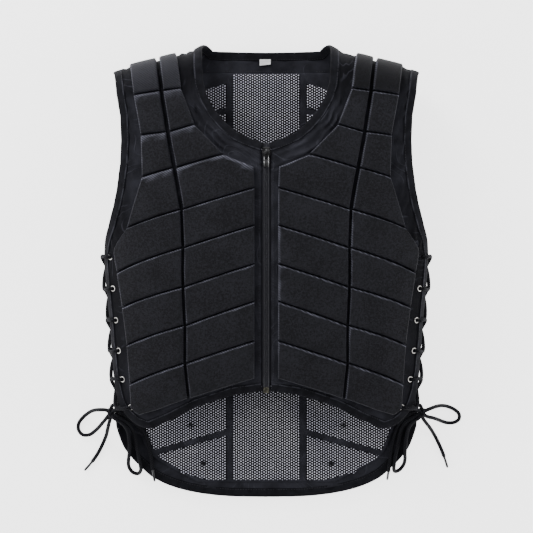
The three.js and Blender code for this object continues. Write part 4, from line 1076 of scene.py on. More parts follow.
def make_shells():
    for side, hand in HANDS.items():
        creases = front_creases(side, GRIDS[side])
        shell_piece("front_shell_" + hand, FRONT, GRIDS[side], creases, -SHELL, [side])
    grid = GRIDS["back"]
    point = surface_point(BACK, grid)
    x, y = point[..., 0], point[..., 1]
    from_edge = np.minimum(np.arange(grid.shape[1]), np.arange(grid.shape[1])[::-1])[None, :]
    beside = ease(0, 6, from_edge) * ease(0, 20, np.abs(x) - 60)
    at_neck = math.prod(ease(*border, way) for border, way in zip(COLLAR_FOLDS, (y, y, np.abs(x))))
    at_hem = math.prod(ease(*border, y) for border in HEM_FOLDS)
    folds = 0.5 + 0.5 * np.sin(x / 7 + 3 * noise(x, y, 30, 9))
    bands = (0.5 + 0.5 * np.sin(y / 1.9 + x / 40 + 2.5 * noise(x, y, 34, 10))) ** 1.5
    inside = -SHELL - COLLAR_DEPTH * folds * at_neck - (HEM_DEPTH * folds + HEM_BAND_DEPTH * bands) * at_hem
    outside = 0.5 * np.maximum(noise(x, y, 24, 8), 0) * beside
    shell_piece("back_shell", BACK, grid, outside, inside, list(HANDS))


# Foam blocks
EDGE_STEPS = np.array([0, 0.35, 0.8, 1.4, 2.2, 3.2, 4.6])
BLOCK_CORNER = 2.8
BLOCK_GROOVE = 1.5
BLOCK_FOOT = 0.28
# Rows with wider painted highlights: along the top edge on the left side and along the zip side on the right
WIDE_HIGHLIGHT_ROWS = (1, 2, 3)
ZIP_SIDE_HIGHLIGHT_ROWS = (5, 6)


BLOCK_CELL = 7.0
WINDOW_CELL = 3.0
# Widths of the painted highlights along the blocks' top and side edges
NARROW_HIGHLIGHT, NARROW_SIDE_HIGHLIGHT = 2.4, 2.2
WIDE_HIGHLIGHT, WIDE_SIDE_HIGHLIGHT = 5.4, 5.0
LOWER_GROOVE = 3.0
BLOCK_SOLE = 0.5


def block_steps(length, cell):
    """Shares of a block's width or height at its grid lines: close at its edges and a cell apart between."""
    cells = max(int(round((length - 2 * EDGE_STEPS[-1]) / cell)), 2)
    middle = np.linspace(EDGE_STEPS[-1], length - EDGE_STEPS[-1], cells + 1)[1:-1]
    return np.concatenate([EDGE_STEPS, middle, length - EDGE_STEPS[::-1]]) / length


def line_length(face, places):
    points = surface_point(face, resampled(places, 8))
    return np.linalg.norm(np.diff(points, axis=0), axis=1).sum()


def block_profile(depth):
    """Share of the foam's height at a depth inside the block's edge: a rounded corner."""
    t = 1 - np.clip(depth / BLOCK_CORNER, 0, 1)
    return BLOCK_FOOT + (1 - BLOCK_FOOT) * np.sqrt(np.maximum(1 - t**2.4, 0))


def block_grid(face, edges, cell):
    """A block's places, its points, and how far every point is from the left, right, lower and upper edge."""
    bottom, top, inner, outer = (np.asarray(edge) for edge in edges)
    wide = (line_length(face, bottom) + line_length(face, top)) / 2
    tall = (line_length(face, inner) + line_length(face, outer)) / 2
    us, vs = block_steps(wide, cell), block_steps(tall, cell)
    grid = patch(bottom, top, inner, outer, us, vs)
    point = surface_point(face, grid)
    span = np.linalg.norm(np.diff(point, axis=1), axis=2)
    rise = np.linalg.norm(np.diff(point, axis=0), axis=2)
    left = np.concatenate([np.zeros((len(vs), 1)), np.cumsum(span, axis=1)], axis=1)
    low = np.concatenate([np.zeros((1, len(us))), np.cumsum(rise, axis=0)], axis=0)
    return grid, point, (left, left[:, -1:] - left, low, low[-1:] - low), vs


def block_piece(name, edges, seed, thin, highlight_width, side_highlight_width=NARROW_SIDE_HIGHLIGHT):
    """One foam block of the front, thinner towards its top by the share thin, with pale rims: painted
    highlights along its top and left edges and a faint pale line of wear round every edge.
    """
    grid, point, distances, vs = block_grid(FRONT, edges, BLOCK_CELL)
    left, right, low, high = distances
    depth = np.minimum.reduce(distances)
    x, y = point[..., 0], point[..., 1]
    crown = (4 * left * right / left[:, -1:] ** 2) ** 0.7 * (4 * low * high / low[-1:] ** 2) ** 0.7
    dents = 0.35 * noise(x, y, 13, seed) + 0.3 * noise(x, y, 6, seed + 1) * ease(12, 2, depth)
    height = FOAM * block_profile(depth) + (0.9 * crown - 0.5 + dents) * ease(0.4, EDGE_STEPS[-1], depth)
    height = height * (1 - thin * vs[:, None] ** 2)
    piece = layer(Build(), FRONT, grid, height, BLOCK_SOLE).piece(name, BLOCK, name)
    # Painted highlight: the rim is paler along the top edge and the left edge, which face the light; a faint
    # pale line round every edge stands for wear
    towards_left = left if x.mean() > 0 else right
    ragged = 1 + 0.5 * noise(x, y, 14, seed + 3)
    side_highlight = 0.7 * ease(side_highlight_width, side_highlight_width * 0.4, towards_left * ragged)
    rim = np.maximum(ease(highlight_width, highlight_width * 0.6, high * ragged), side_highlight)
    rim = np.maximum(rim, 0.25 * ease(2.2, 0.8, depth)) * (0.7 + 0.6 * noise(x, y, 16, seed + 2))
    add_value(piece.data, "rim", np.concatenate([rim.ravel(), rim.ravel() * 0]))


def block_corner(side, across, along, inward, up):
    return to_surface(side * (across * HALF_CHEST + inward), along * LENGTH + up)


def column_groove(row):
    return COLUMN_GAP if row <= max(WIDE_HIGHLIGHT_ROWS) else LOWER_GROOVE


def inner_block_edges(side, row):
    top, bottom = FRONT_SEAMS[row], FRONT_SEAMS[row + 1]
    gap, channel = BLOCK_GROOVE / 2, -column_groove(row) / 2
    top_outer = block_corner(side, *top[1], channel, -gap)
    bottom_outer = block_corner(side, *bottom[1], channel, gap)
    bottom_inner = block_corner(side, *bottom[0], 0, gap)
    upper = [block_corner(side, *top[0], 0, -gap), top_outer]
    if row == NECK_CORNER[0]:
        upper.insert(0, block_corner(side, *NECK_CORNER[1:], 0, -gap))
    return (bottom_inner, bottom_outer), upper, (bottom_inner, upper[0]), (bottom_outer, top_outer)


def outer_block_edges(side, row):
    top, bottom = FRONT_SEAMS[row], FRONT_SEAMS[row + 1]
    gap, channel = BLOCK_GROOVE / 2, column_groove(row) / 2
    top_inner = block_corner(side, *top[1], channel, -gap)
    top_outer = block_corner(side, *top[2], 0, -gap)
    bottom_inner = block_corner(side, *bottom[1], channel, gap)
    bottom_outer = block_corner(side, *bottom[2], 0, gap)
    lower, outer = [bottom_inner, bottom_outer], [bottom_outer, top_outer]
    if row == ARMPIT_CORNER[0]:
        outer.insert(1, block_corner(side, *ARMPIT_CORNER[1:], 0, 0))
    if row == LAST_ROW:
        lower[1:1] = [block_corner(side, *corner, 0, gap) for corner in HEM_CORNERS]
    return lower, (top_inner, top_outer), (bottom_inner, top_inner), outer


def make_blocks():
    for side, hand in HANDS.items():
        for row in range(LAST_ROW + 1):
            seed = 20 + 4 * row + (100 if side == RIGHT else 0)
            thin = SHOULDER_THIN if row == 0 else 0.0
            # Widths of each block's painted highlights along its top and its side
            highlight_width = WIDE_HIGHLIGHT if row in WIDE_HIGHLIGHT_ROWS and side == LEFT else NARROW_HIGHLIGHT
            side_highlight_width = WIDE_SIDE_HIGHLIGHT if row in ZIP_SIDE_HIGHLIGHT_ROWS and side == RIGHT else NARROW_SIDE_HIGHLIGHT
            name = f"block_{hand}_{{}}_{row + 1}"
            block_piece(name.format("inner"), inner_block_edges(side, row), seed, thin, highlight_width, side_highlight_width)
            block_piece(name.format("outer"), outer_block_edges(side, row), seed + 2, thin, highlight_width)


# The back's quilted blocks and the lining's windows share one layout.
def back_block_edge(y):
    return smooth(BACK_BLOCK_EDGE[:, 0], BACK_BLOCK_EDGE[:, 1], y / LENGTH) * HALF_CHEST


def back_line(side, height, x_from, margin, flare=0.0, count=9):
    """Places on a falling line from beside the middle column out to the blocks' outer edge."""
    channel = MIDDLE_HALF * HALF_CHEST
    edge = back_block_edge(height) - margin
    for _ in range(12):
        y = height - BACK_SEAM_SLOPE * max(edge - channel, 0)
        edge = back_block_edge(y) - margin + flared(y, flare)
    x = np.linspace(x_from, edge, count)
    return to_surface(side * x, height - BACK_SEAM_SLOPE * np.maximum(x - channel, 0))


def bottom_line(side, x_from, x_to, lift, count=9):
    x = np.linspace(x_from, x_to, count)
    y = np.interp(x / HALF_CHEST, BACK_BLOCK_BOTTOM[:, 0], BACK_BLOCK_BOTTOM[:, 1]) * LENGTH
    return to_surface(side * x, y + lift)


FLARE_STEP = -262.0  # middle of the step out, and its half height
FLARE_SPREAD = 11.0


def flared(y, flare):
    """How far the lining spreads beside the hem, with one more step out at its lower corner."""
    step = np.exp(-(((y - FLARE_STEP) / FLARE_SPREAD) ** 2))
    return flare * (np.clip((-0.2 - y / LENGTH) / 0.1, 0, 1) + 0.7 * step)


def back_layout(column_gap, row_gap, margin, middle_top=BACK_BLOCK_TOP * LENGTH, foot=0.0, flares=(0.0, 0.0)):
    """Edges of every block of the back: the middle column and the two side columns."""
    channel = MIDDLE_HALF * HALF_CHEST
    seams = [height * LENGTH for height in BACK_SEAMS]
    wide = channel - column_gap
    blocks = []
    middles = [middle_top + row_gap, *(seams[i] for i in MIDDLE_SEAMS), None]
    for top, low in zip(middles[:-1], middles[1:]):
        y_low = BACK_BLOCK_BOTTOM[0][1] * LENGTH + foot if low is None else low + row_gap
        lower = [to_surface(x, y_low) for x in (-wide, wide)]
        upper = [to_surface(x, top - row_gap) for x in (-wide, wide)]
        blocks.append((lower, upper, (lower[0], upper[0]), (lower[1], upper[1])))
    for side, flare in zip(HANDS, flares):
        start = channel + column_gap
        tops = [BACK_BLOCK_TOP * LENGTH, *(seam - row_gap for seam in seams)]
        lows = [*(seam + row_gap for seam in seams), None]
        for top, low in zip(tops, lows):
            upper = back_line(side, top, start, margin, flare)
            if low is None:
                end = BACK_BLOCK_BOTTOM[-1][0] * HALF_CHEST - margin + flare
                lower = bottom_line(side, start, end, foot)
            else:
                lower = back_line(side, low, start, margin, flare)
            along = lower[-1][1] + (upper[-1][1] - lower[-1][1]) * np.linspace(0, 1, 7)
            edge = back_block_edge(along) - margin + flared(along, flare)
            outer = to_surface(side * edge, along)
            outer[0], outer[-1] = lower[-1], upper[-1]
            blocks.append((lower, upper, (lower[0], upper[0]), outer))
    return blocks


def make_back_blocks():
    """Blocks of foam under one cloth, whose grooves go down to a thin floor."""
    build = Build()
    for number, edges in enumerate(back_layout(COLUMN_GAP / 2, ROW_GAP / 2, 0.0)):
        grid, point, distances, _ = block_grid(BACK, edges, BLOCK_CELL)
        dents = 0.12 * noise(point[..., 0], point[..., 1], 14, 300 + number)
        height = FOAM * block_profile(np.minimum.reduce(distances)) + dents - 0.1
        layer(build, BACK, grid, np.minimum(height, FOAM), 0.4)
    piece = build.piece("back_blocks", BLOCK, "back_blocks")


# Lining
LINING_FACE = -SHELL - 2.0
VENT = 3.4


LINING_FLARE = 8.0
LINING_FOOT = (-0.4715 * LENGTH, 0.43 * HALF_CHEST)
LINING_HEAD = (0.4455 * LENGTH, 0.38 * HALF_CHEST)
LINING_ENDS = 7  # rows of each end, from the blocks' outline to the foot or the head


def lining_rows():
    """Heights and half widths of the lining, from its foot by the hem to its head behind the neck."""
    ys = np.linspace(BACK_BLOCK_EDGE[0][0], BACK_BLOCK_TOP, 130) * LENGTH
    edges = back_block_edge(ys) + 6 + flared(ys, LINING_FLARE)
    low, high = np.linspace(0, 1, LINING_ENDS)[:-1], np.linspace(0, 1, LINING_ENDS)[1:]

    def with_ends(values, foot, head):
        before, after = foot + (values[0] - foot) * low, values[-1] + (head - values[-1]) * high
        return np.concatenate([before, values, after])

    return with_ends(ys, LINING_FOOT[0], LINING_HEAD[0]), with_ends(edges, LINING_FOOT[1], LINING_HEAD[1])


def lining_grid(columns):
    ys, edges = lining_rows()
    shares = np.linspace(-1, 1, columns)[None, :]
    return to_surface(shares * edges[:, None], ys[:, None] + 0 * shares)


# The layout of the mesh windows: gaps, margin, top, foot and how far each side spreads
WINDOWS = dict(column_gap=4.5, row_gap=4.2, margin=4.5, middle_top=275.5, foot=-7.2, flares=(9.0, 13.0))
WINDOW_SWELL = 2.0
SWELL_WIDTH = 7
MIDDLE_WINDOWS = 4
VENT_PLACE = (0.45, 0.42)  # shares up and across a side window


def make_lining():
    grid = lining_grid(120)
    point = surface_point(BACK, grid)
    rough = 0.06 * noise(point[..., 0], point[..., 1], 9, 400)
    build = layer(Build(), BACK, grid, -SHELL - 0.6, LINING_FACE - rough)
    build.piece("back_lining", FACING, "back_lining")

    windows, vents = Build(), []
    for number, edges in enumerate(back_layout(**WINDOWS)):
        grid, point, distances, _ = block_grid(BACK, edges, WINDOW_CELL)
        inside = np.clip(np.minimum.reduce(distances) / SWELL_WIDTH, 0, 1)
        swell = np.sqrt(np.maximum(1 - (1 - inside) ** 2, 0))
        dents = 0.25 * noise(point[..., 0], point[..., 1], 20, 500)
        layer(windows, BACK, grid, LINING_FACE - 0.2 - WINDOW_SWELL * swell - dents, LINING_FACE + 0.8)
        mask = np.zeros(point.shape[:2])
        if number >= MIDDLE_WINDOWS:
            row, column = (int(count * share) for count, share in zip(mask.shape, VENT_PLACE))
            mask = ease(VENT + 1.2, VENT - 0.6, np.linalg.norm(point - point[row, column], axis=2))
        vents += [mask.ravel(), np.zeros(mask.size)]
    mesh = windows.mesh("mesh_windows")
    add_value(mesh, "vent", np.concatenate(vents))
    mesh.shade_smooth()
    finished("mesh_windows", mesh, MESH)


# Bindings
FOLD_REACH = BINDING_HALF * 0.8
BINDING_OVERLAP = -3.2


def binding_profile(count=20):
    """The tape folded round an edge, as (reach, height) from the shell's face round the fold and back."""
    top = [(BINDING_OVERLAP, 1.0), (BINDING_OVERLAP * 0.5, 1.06), (0, 1.0)]
    fold = []
    for angle in np.radians(np.linspace(90, -90, count - 7)):
        fold.append((BINDING_WIDTH - FOLD_REACH + FOLD_REACH * math.cos(angle), 0.78 * math.sin(angle)))
    return np.array([*top, (BINDING_WIDTH * 0.4, 0.97), *fold, (BINDING_WIDTH * 0.4, -0.97),
                     *[(reach, -high) for reach, high in reversed(top)]])


BINDING_STEP = 2.6


def softened(directions, rounds=3):
    """Directions along a line, each averaged with its neighbours and made one long."""
    for _ in range(rounds):
        directions[1:-1] = (directions[:-2] + directions[1:-1] * 2 + directions[2:]) / 4
    return directions / np.linalg.norm(directions, axis=1, keepdims=True)


def binding_line(stations):
    """Points, outward and sideways directions and the way along stations of (face, places)."""
    points = np.concatenate([offset_point(face, at, -SHELL / 2) for face, at in stations])
    normals = np.concatenate([outward(face, at) for face, at in stations])
    way = steps_along(points)
    keep = np.concatenate([[True], np.diff(way) > 1e-3])
    points, normals, way = points[keep], normals[keep], way[keep]
    goals = np.linspace(0, way[-1], int(way[-1] / BINDING_STEP))
    points, normals = at_ways(way, points, goals), softened(at_ways(way, normals, goals))
    sideways = np.cross(softened(np.gradient(points, axis=0)), normals)
    return points, normals, sideways / np.linalg.norm(sideways, axis=1, keepdims=True), goals


def binding_piece(name, stations, turned_out, seed):
    """One binding along stations, slightly gathered, and its line for the stitches."""
    points, normals, sideways, way = binding_line(stations)
    sideways = sideways * turned_out
    profile = binding_profile()
    patches = ease(-0.2, 0.5, noise(way, way * 0, 60, seed + 1))
    gather = 0.22 * np.sin(way / 2.9 + 2 * noise(way, way * 0, 40, seed)) * patches
    rings = []
    for p, n, s, g in zip(points, normals, sideways, gather):
        reach = profile[:, 0] + 0.5 * g * (profile[:, 0] > 2)
        high = profile[:, 1] * (BINDING_HALF + g)
        rings.append(p + reach[:, None] * s + high[:, None] * n)
    count, sides = len(rings), len(profile)
    faces, uvs = [], []
    for i in range(count - 1):
        for k in range(sides):
            m = (k + 1) % sides
            faces.append((i * sides + k, (i + 1) * sides + k, (i + 1) * sides + m, i * sides + m))
            low, high = k / sides, (k + 1) / sides
            uvs.append([(way[i], low), (way[i + 1], low), (way[i + 1], high), (way[i], high)])
    faces.append(tuple(range(sides)))
    faces.append(tuple(reversed(range((count - 1) * sides, count * sides))))
    uvs += [[(0, 0)] * sides, [(way[-1], 0)] * sides]
    if turned_out > 0:
        faces = [face[::-1] for face in faces]
        uvs = [uv[::-1] for uv in uvs]
    Build().add(np.concatenate(rings), faces, uvs).piece(name, BINDING, name)
    return points, normals, sideways, way


STITCH_REACH = -1.6
STITCH_HEIGHT = BINDING_HALF * 1.05
STITCH_PITCH = 3.6


def stitch_rows(line):
    """Stitches on both faces of a binding: rows of place, facing and along."""
    points, normals, sideways, way = line
    goals = np.arange(STITCH_PITCH, way[-1] - STITCH_PITCH, STITCH_PITCH)
    p, n, s = (at_ways(way, rows, goals) for rows in (points, normals, sideways))
    ahead = np.gradient(p, axis=0)
    rows = []
    for sign in (1, -1):
        place = p + s * STITCH_REACH + n * sign * STITCH_HEIGHT
        rows.append(np.concatenate([place, n * sign, ahead], axis=1))
    return np.concatenate(rows)


def make_bindings():
    """The three bindings; returns the rows of their stitches."""
    stitches = []
    for side, hand in HANDS.items():
        front, back = GRIDS[side], GRIDS["back"]
        if side == LEFT:
            back = back[:, ::-1]
        hem = back[0][back.shape[1] // 2:-1][::-1].copy()
        hem[-1] = to_surface(-side * 1.0, BACK_HEM[0][0] * LENGTH)
        stations = [(FRONT, front[0, :-1]), (FRONT, front[:, -1]), (BACK, back[::-1, -1]), (BACK, hem)]
        stitches.append(stitch_rows(binding_piece("binding_" + hand, stations, side, 600 + side)))
    neck = [
        (FRONT, GRIDS[LEFT][-1][: NECK_CELLS + 1]),
        (BACK, GRIDS["back"][-1][BACK_SEAM_CELLS:-BACK_SEAM_CELLS]),
        (FRONT, GRIDS[RIGHT][-1][: NECK_CELLS + 1][::-1]),
    ]
    stitches.append(stitch_rows(binding_piece("binding_neck", neck, 1, 620)))
    return np.concatenate(stitches)


# Geometry Nodes: one small shape on every point of a cloud
class Tree:
    """One Geometry Nodes tree that puts a shape on every point of a cloud; its sizes are inputs in metres."""

    def __init__(self, name, **sizes):
        self.tree = bpy.data.node_groups.new(name, "GeometryNodeTree")
        sockets = self.tree.interface
        sockets.new_socket("Points", in_out="INPUT", socket_type="NodeSocketGeometry")
        for label, size in sizes.items():
            sockets.new_socket(label, in_out="INPUT", socket_type="NodeSocketFloat").default_value = size * MM
        finish = sockets.new_socket("Finish", in_out="INPUT", socket_type="NodeSocketMaterial")
        self.finish = finish.identifier
        sockets.new_socket("Geometry", in_out="OUTPUT", socket_type="NodeSocketGeometry")
        self.given = self.make("NodeGroupInput").outputs

    def make(self, kind, settings=None, inputs=None):
        return make_node(self.tree, kind, settings, inputs)

    def attribute(self, name):
        settings = {"data_type": "FLOAT_VECTOR"}
        return self.make("GeometryNodeInputNamedAttribute", settings, {"Name": name}).outputs[0]

    def on_points(self, shape):
        """Puts the shape on every point, its Z along facing and its X along the row."""
        turn = "FunctionNodeAlignRotationToVector"
        points = self.make("GeometryNodeMeshToPoints", inputs={"Mesh": self.given["Points"]}).outputs[0]
        stand = self.make(turn, {"axis": "Z"}, {"Vector": self.attribute("facing")}).outputs[0]
        inputs = {"Rotation": stand, "Vector": self.attribute("along")}
        rotation = self.make(turn, {"axis": "X", "pivot_axis": "Z"}, inputs).outputs[0]
        inputs = {"Points": points, "Instance": shape, "Rotation": rotation}
        made = self.make("GeometryNodeInstanceOnPoints", inputs=inputs)
        for kind in ("GeometryNodeRealizeInstances", "GeometryNodeSetShadeSmooth", "GeometryNodeSetMaterial"):
            made = self.make(kind, inputs={"Geometry": made.outputs[0]})
        self.tree.links.new(self.given["Finish"], made.inputs["Material"])
        self.tree.links.new(made.outputs[0], self.make("NodeGroupOutput").inputs[0])
        return self


def bead_tree(name, kind, cells, **sizes):
    """A rounded bead of three sizes, along, across and high."""
    tree = Tree(name, **sizes)
    bead = tree.make(kind, inputs={"Radius": 0.5, **cells})
    scale = tree.make("ShaderNodeCombineXYZ", inputs=[tree.given[label] for label in sizes])
    inputs = {"Geometry": bead.outputs[0], "Scale": scale.outputs[0]}
    return tree.on_points(tree.make("GeometryNodeTransform", inputs=inputs).outputs[0])


def ring_tree():
    """An eyelet's ring, pressed flat."""
    tree = Tree("eyelet_rings", Radius=3.45, Width=0.7)
    circle = "GeometryNodeCurvePrimitiveCircle"
    path = tree.make(circle, inputs={"Resolution": 28, "Radius": tree.given["Radius"]})
    section = tree.make(circle, inputs={"Resolution": 10, "Radius": tree.given["Width"]})
    inputs = {"Curve": path.outputs[0], "Profile Curve": section.outputs[0]}
    swept = tree.make("GeometryNodeCurveToMesh", inputs=inputs)
    inputs = {"Geometry": swept.outputs[0], "Scale": (1, 1, 0.5)}
    return tree.on_points(tree.make("GeometryNodeTransform", inputs=inputs).outputs[0])


def repeated(name, tree, rows, material):
    """A plain mesh of the tree's shape on rows of (place, facing, along)."""
    rows = np.asarray(rows, float)
    mesh = bpy.data.meshes.new(name + "_points")
    mesh.from_pydata([tuple(p) for p in rows[:, :3] * MM], [], [])
    for label, columns in (("facing", rows[:, 3:6]), ("along", rows[:, 6:9])):
        values = np.ascontiguousarray(columns, np.float32).ravel()
        mesh.attributes.new(label, "FLOAT_VECTOR", "POINT").data.foreach_set("vector", values)
    carrier = bpy.data.objects.new(name + "_points", mesh)
    bpy.context.scene.collection.objects.link(carrier)
    modifier = carrier.modifiers.new("repeat", "NODES")
    modifier.node_group = tree.tree
    modifier[tree.finish] = material
    bpy.context.view_layer.update()
    return finished(name, evaluated_mesh(carrier), material)


RING_SINK = 0.15


def make_eyelets():
    """A metal ring on both faces of every eyelet hole."""
    rows = []
    for side in HANDS:
        for face in (FRONT, BACK):
            for along in EYELETS:
                at = eyelet_place(face, side, along)
                normal = outward(face, at)
                for sign, depth in ((1, RING_SINK), (-1, -SHELL - RING_SINK)):
                    rows.append(np.concatenate([offset_point(face, at, depth), sign * normal, (0, 1, 0)]))
    repeated("eyelets", ring_tree(), rows, NICKEL)


# Lacing
LACE_OVER = 3.4
LACE_UNDER = -6.8
LACE_PAST = 17.5
# How much higher the lace lies beside a hole and past the edge, and how far beside the hole that is
RISE_BESIDE, RISE_PAST = 0.7, 0.9
BESIDE_OVER, BESIDE_UNDER = 2.6, 2.4
PAST_LAST = 4.5


def lacing_route(side):
    """Points of the crossed lace: from the knot up through every eyelet and down again."""
    last = len(EYELETS) - 1
    up = [(BACK if i % 2 else FRONT, last - i) for i in range(last + 1)]
    down = [(BACK if i % 2 else FRONT, i) for i in range(last + 1)]

    def hole(which, offset, on=0.0):
        face, k = which
        return offset_point(face, eyelet_place(face, side, EYELETS[k], on), offset)

    def past(which):
        return LACE_PAST + (PAST_LAST if which == (FRONT, last) else 0)

    points = [knot_centre(side)]

    def crossing(a, b, out):
        points.extend([hole(a, -SHELL / 2), hole(a, LACE_OVER + RISE_BESIDE, BESIDE_OVER)])
        points.append(hole(a, LACE_OVER + RISE_PAST, past(a)))
        middle = (hole(a, -1, LACE_PAST) + hole(b, -1, LACE_PAST)) / 2
        points.append(middle + np.array([side * out, 0, 0]))
        points.extend([hole(b, LACE_UNDER, LACE_PAST), hole(b, LACE_UNDER, BESIDE_UNDER)])

    points += [hole(up[0], LACE_UNDER - 1, LACE_PAST), hole(up[0], LACE_UNDER, BESIDE_UNDER)]
    for i in range(last):
        crossing(up[i], up[i + 1], LACE * 0.6)
    crossing(up[last], down[0], 0)
    for i in range(last):
        crossing(down[i], down[i + 1], -LACE * 0.6)
    points += [hole(down[last], -SHELL / 2), hole(down[last], LACE_OVER + RISE_BESIDE, BESIDE_OVER)]
    points += [hole(down[last], LACE_OVER + 1, LACE_PAST), knot_centre(side)]
    return points


def knot_line(side):
    """The turns of a bow's knot, one closed line inside the knot's sizes."""
    t = np.linspace(0, 2 * math.pi, 120, endpoint=False)
    a, b, c = (size - LACE / 2 for size in KNOT)
    x = a * (np.sin(t) + 1.5 * np.sin(2 * t)) / 2.35
    y = b * (np.cos(t) - 1.5 * np.cos(2 * t)) / 2.4
    z = -c * np.sin(3 * t) * 0.85
    return knot_centre(side) + np.stack([side * x, y, z], axis=-1)


LACING_STEP = 1.3
LACING_SIDES = 10
CORE_HALF = 3.5
CORE_RADII = np.array([1.2, 2.2, 2.9, 3.2, 3.2, 2.9, 2.2, 1.2])


def make_lacing():
    """The crossed lace, the knot's turns and a core that fills the knot."""
    for side, hand in HANDS.items():
        build = Build()
        tube(build, centripetal(lacing_route(side), LACING_STEP), LACE / 2, LACING_SIDES)
        tube(build, knot_line(side), LACE / 2 * 1.05, LACING_SIDES, closed=True)
        reach = np.array([0, CORE_HALF, 0])
        core = np.linspace(knot_centre(side) - reach, knot_centre(side) + reach, len(CORE_RADII))
        tube(build, core, CORE_RADII)
        build.piece("lacing_" + hand, BRAID, "lacing_" + hand)


# Zip
TAPES_APART = 0.03
TAPE_RISE, TAPE_RISE_HALF = 2.6, 6.0  # the tapes stand up between the shells, this far each side
TOOTH_PITCH = 1.55
TOOTH_OUT, TOOTH_DEPTH = 1.15, -1.1
CORD_OUT, CORD_DEPTH, CORD_RADIUS = 3.1, -0.4, 0.6
STOP = (7.4, 8.0, 4.4)


def make_zip_tape(side, hand):
    ys = np.linspace(ZIP_BOTTOM, ZIP_TOP, 150)
    hem, neck = FRONT_HEM[0][0] * LENGTH, FRONT_NECK[0][0] * LENGTH
    outer = np.where((ys < hem) | (ys > neck - 1), ZIP_EDGE - CLEAR, TAPE_HALF)
    share = np.linspace(0, 1, 25)
    x = TAPES_APART + (outer - TAPES_APART)[:, None] * share[None, :]
    grid = to_surface(side * x, ys[:, None] + 0 * x)
    rise = ease(TAPE_RISE_HALF + 0.4, TAPE_RISE_HALF - 0.4, x) * ease(ZIP_TOP + 1, ZIP_TOP - 6, ys)[:, None]
    face = 0.12 * np.sin(ys / 5)[:, None] * share[None, :] - SHELL - CLEAR + TAPE_RISE * rise
    build = layer(Build(), FRONT, grid, face, face - TAPE)
    build.piece("zip_tape_" + hand, TAPE_CLOTH, "zip_tape_" + hand)


def make_zip():
    """The tapes, the teeth in step with each other, the raised lines beside them and the bottom stop."""
    rows = []
    for side, hand in HANDS.items():
        make_zip_tape(side, hand)
        first = ZIP_BOTTOM + 7 + (TOOTH_PITCH / 2 if side == RIGHT else 0)
        for y in np.arange(first, SLIDER_Y - 3, TOOTH_PITCH):
            at = to_surface(side * TOOTH_OUT, y)
            rows.append(np.concatenate([offset_point(FRONT, at, TOOTH_DEPTH), outward(FRONT, at), (1, 0, 0)]))
    cells = {"Segments": 8, "Rings": 5}
    tooth = bead_tree("zip_teeth_rows", "GeometryNodeMeshUVSphere", cells, Reach=4.0, Width=1.0, Height=2.6)
    piece = repeated("zip_coil", tooth, rows, TEETH)
    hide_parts("zip_teeth")
    ys = np.linspace(ZIP_BOTTOM + 6, SLIDER_Y - 5, 120)
    for side, hand in HANDS.items():
        line = offset_point(FRONT, to_surface(side * CORD_OUT, ys), CORD_DEPTH)
        tube(Build(), line, CORD_RADIUS, 8).piece("zip_cord_" + hand, TEETH)
    at = to_surface(0, ZIP_BOTTOM + 4)
    stop = placed(rounded_block(STOP, 0.9), offset_point(FRONT, at, -1.0), outward(FRONT, at))
    stop.piece("zip_stop", BROWN_METAL)


def outline_prism(points, low, high, bevel):
    """A flat plate with a chamfered rim, from a list of corners that turn to the left."""
    points = np.asarray(points, float)
    centre = points.mean(0)
    directions = centre - points
    directions /= np.linalg.norm(directions, axis=1, keepdims=True)
    inset = points + directions * bevel
    rings = [(inset, low), (points, low + bevel), (points, high - bevel), (inset, high)]
    count = len(points)
    verts = np.concatenate([np.column_stack([ring, np.full(count, z)]) for ring, z in rings])
    faces = [tuple(reversed(range(count))), tuple(range(3 * count, 4 * count))]
    for i in range(3):
        for k in range(count):
            m = (k + 1) % count
            faces.append((i * count + k, i * count + m, (i + 1) * count + m, (i + 1) * count + k))
    return verts, faces


def rounded_block(size, bevel):
    """A box with rounded upright corners and a chamfered rim."""
    a, b, c = (s / 2 for s in size)
    return outline_prism(rounded_corners(a, -b, b, bevel * 1.3, 4), -c, c, bevel * 0.45)


def frame_of(normal):
    """Right, up and out of the zip's face at a place."""
    right = np.array([1.0, 0.0, 0.0])
    up = np.cross(normal, right)
    return np.stack([right, up / np.linalg.norm(up), normal])


def carried(points, origin, normal, tilt=0.0):
    """Points of a shape's own frame, tilted about its X and stood at origin with its Z along normal."""
    turn = np.array([[1, 0, 0], [0, math.cos(tilt), -math.sin(tilt)], [0, math.sin(tilt), math.cos(tilt)]])
    return np.asarray(points) @ turn.T @ frame_of(normal) + origin


def placed(shape, origin, normal, build=None, tilt=0.0):
    verts, faces = shape
    return (build or Build()).add(carried(verts, origin, normal, tilt), faces)


def ring_plate(outer, inner, low, high, bevel):
    """A flat plate with one opening: outer and inner corners in step with each other."""
    outer, inner = np.asarray(outer, float), np.asarray(inner, float)
    count = len(outer)
    middle = (outer + inner) / 2

    def toward(ring):
        return ring + bevel * (middle - ring) / np.linalg.norm(middle - ring, axis=1, keepdims=True)

    rings = [(outer, low + bevel), (outer, high - bevel), (toward(outer), high), (toward(inner), high),
             (inner, high - bevel), (inner, low + bevel), (toward(inner), low), (toward(outer), low)]
    verts = np.concatenate([np.column_stack([ring, np.full(count, z)]) for ring, z in rings])
    faces = []
    for i in range(len(rings)):
        j = (i + 1) % len(rings)
        for k in range(count):
            m = (k + 1) % count
            faces.append((i * count + k, i * count + m, j * count + m, j * count + k))
    return verts, faces


def rounded_corners(wide, low, high, radius, count=5):
    """Corners of an upright rounded rectangle that turn to the left, half width wide."""
    points = []
    corners = ((1, high, 1, 0), (-1, high, 1, 90), (-1, low, -1, 180), (1, low, -1, 270))
    for sign_x, y, sign_y, start in corners:
        for turn in np.radians(start + np.linspace(0, 90, count)):
            points.append((sign_x * (wide - radius) + radius * math.cos(turn),
                           y - sign_y * radius + radius * math.sin(turn)))
    return points


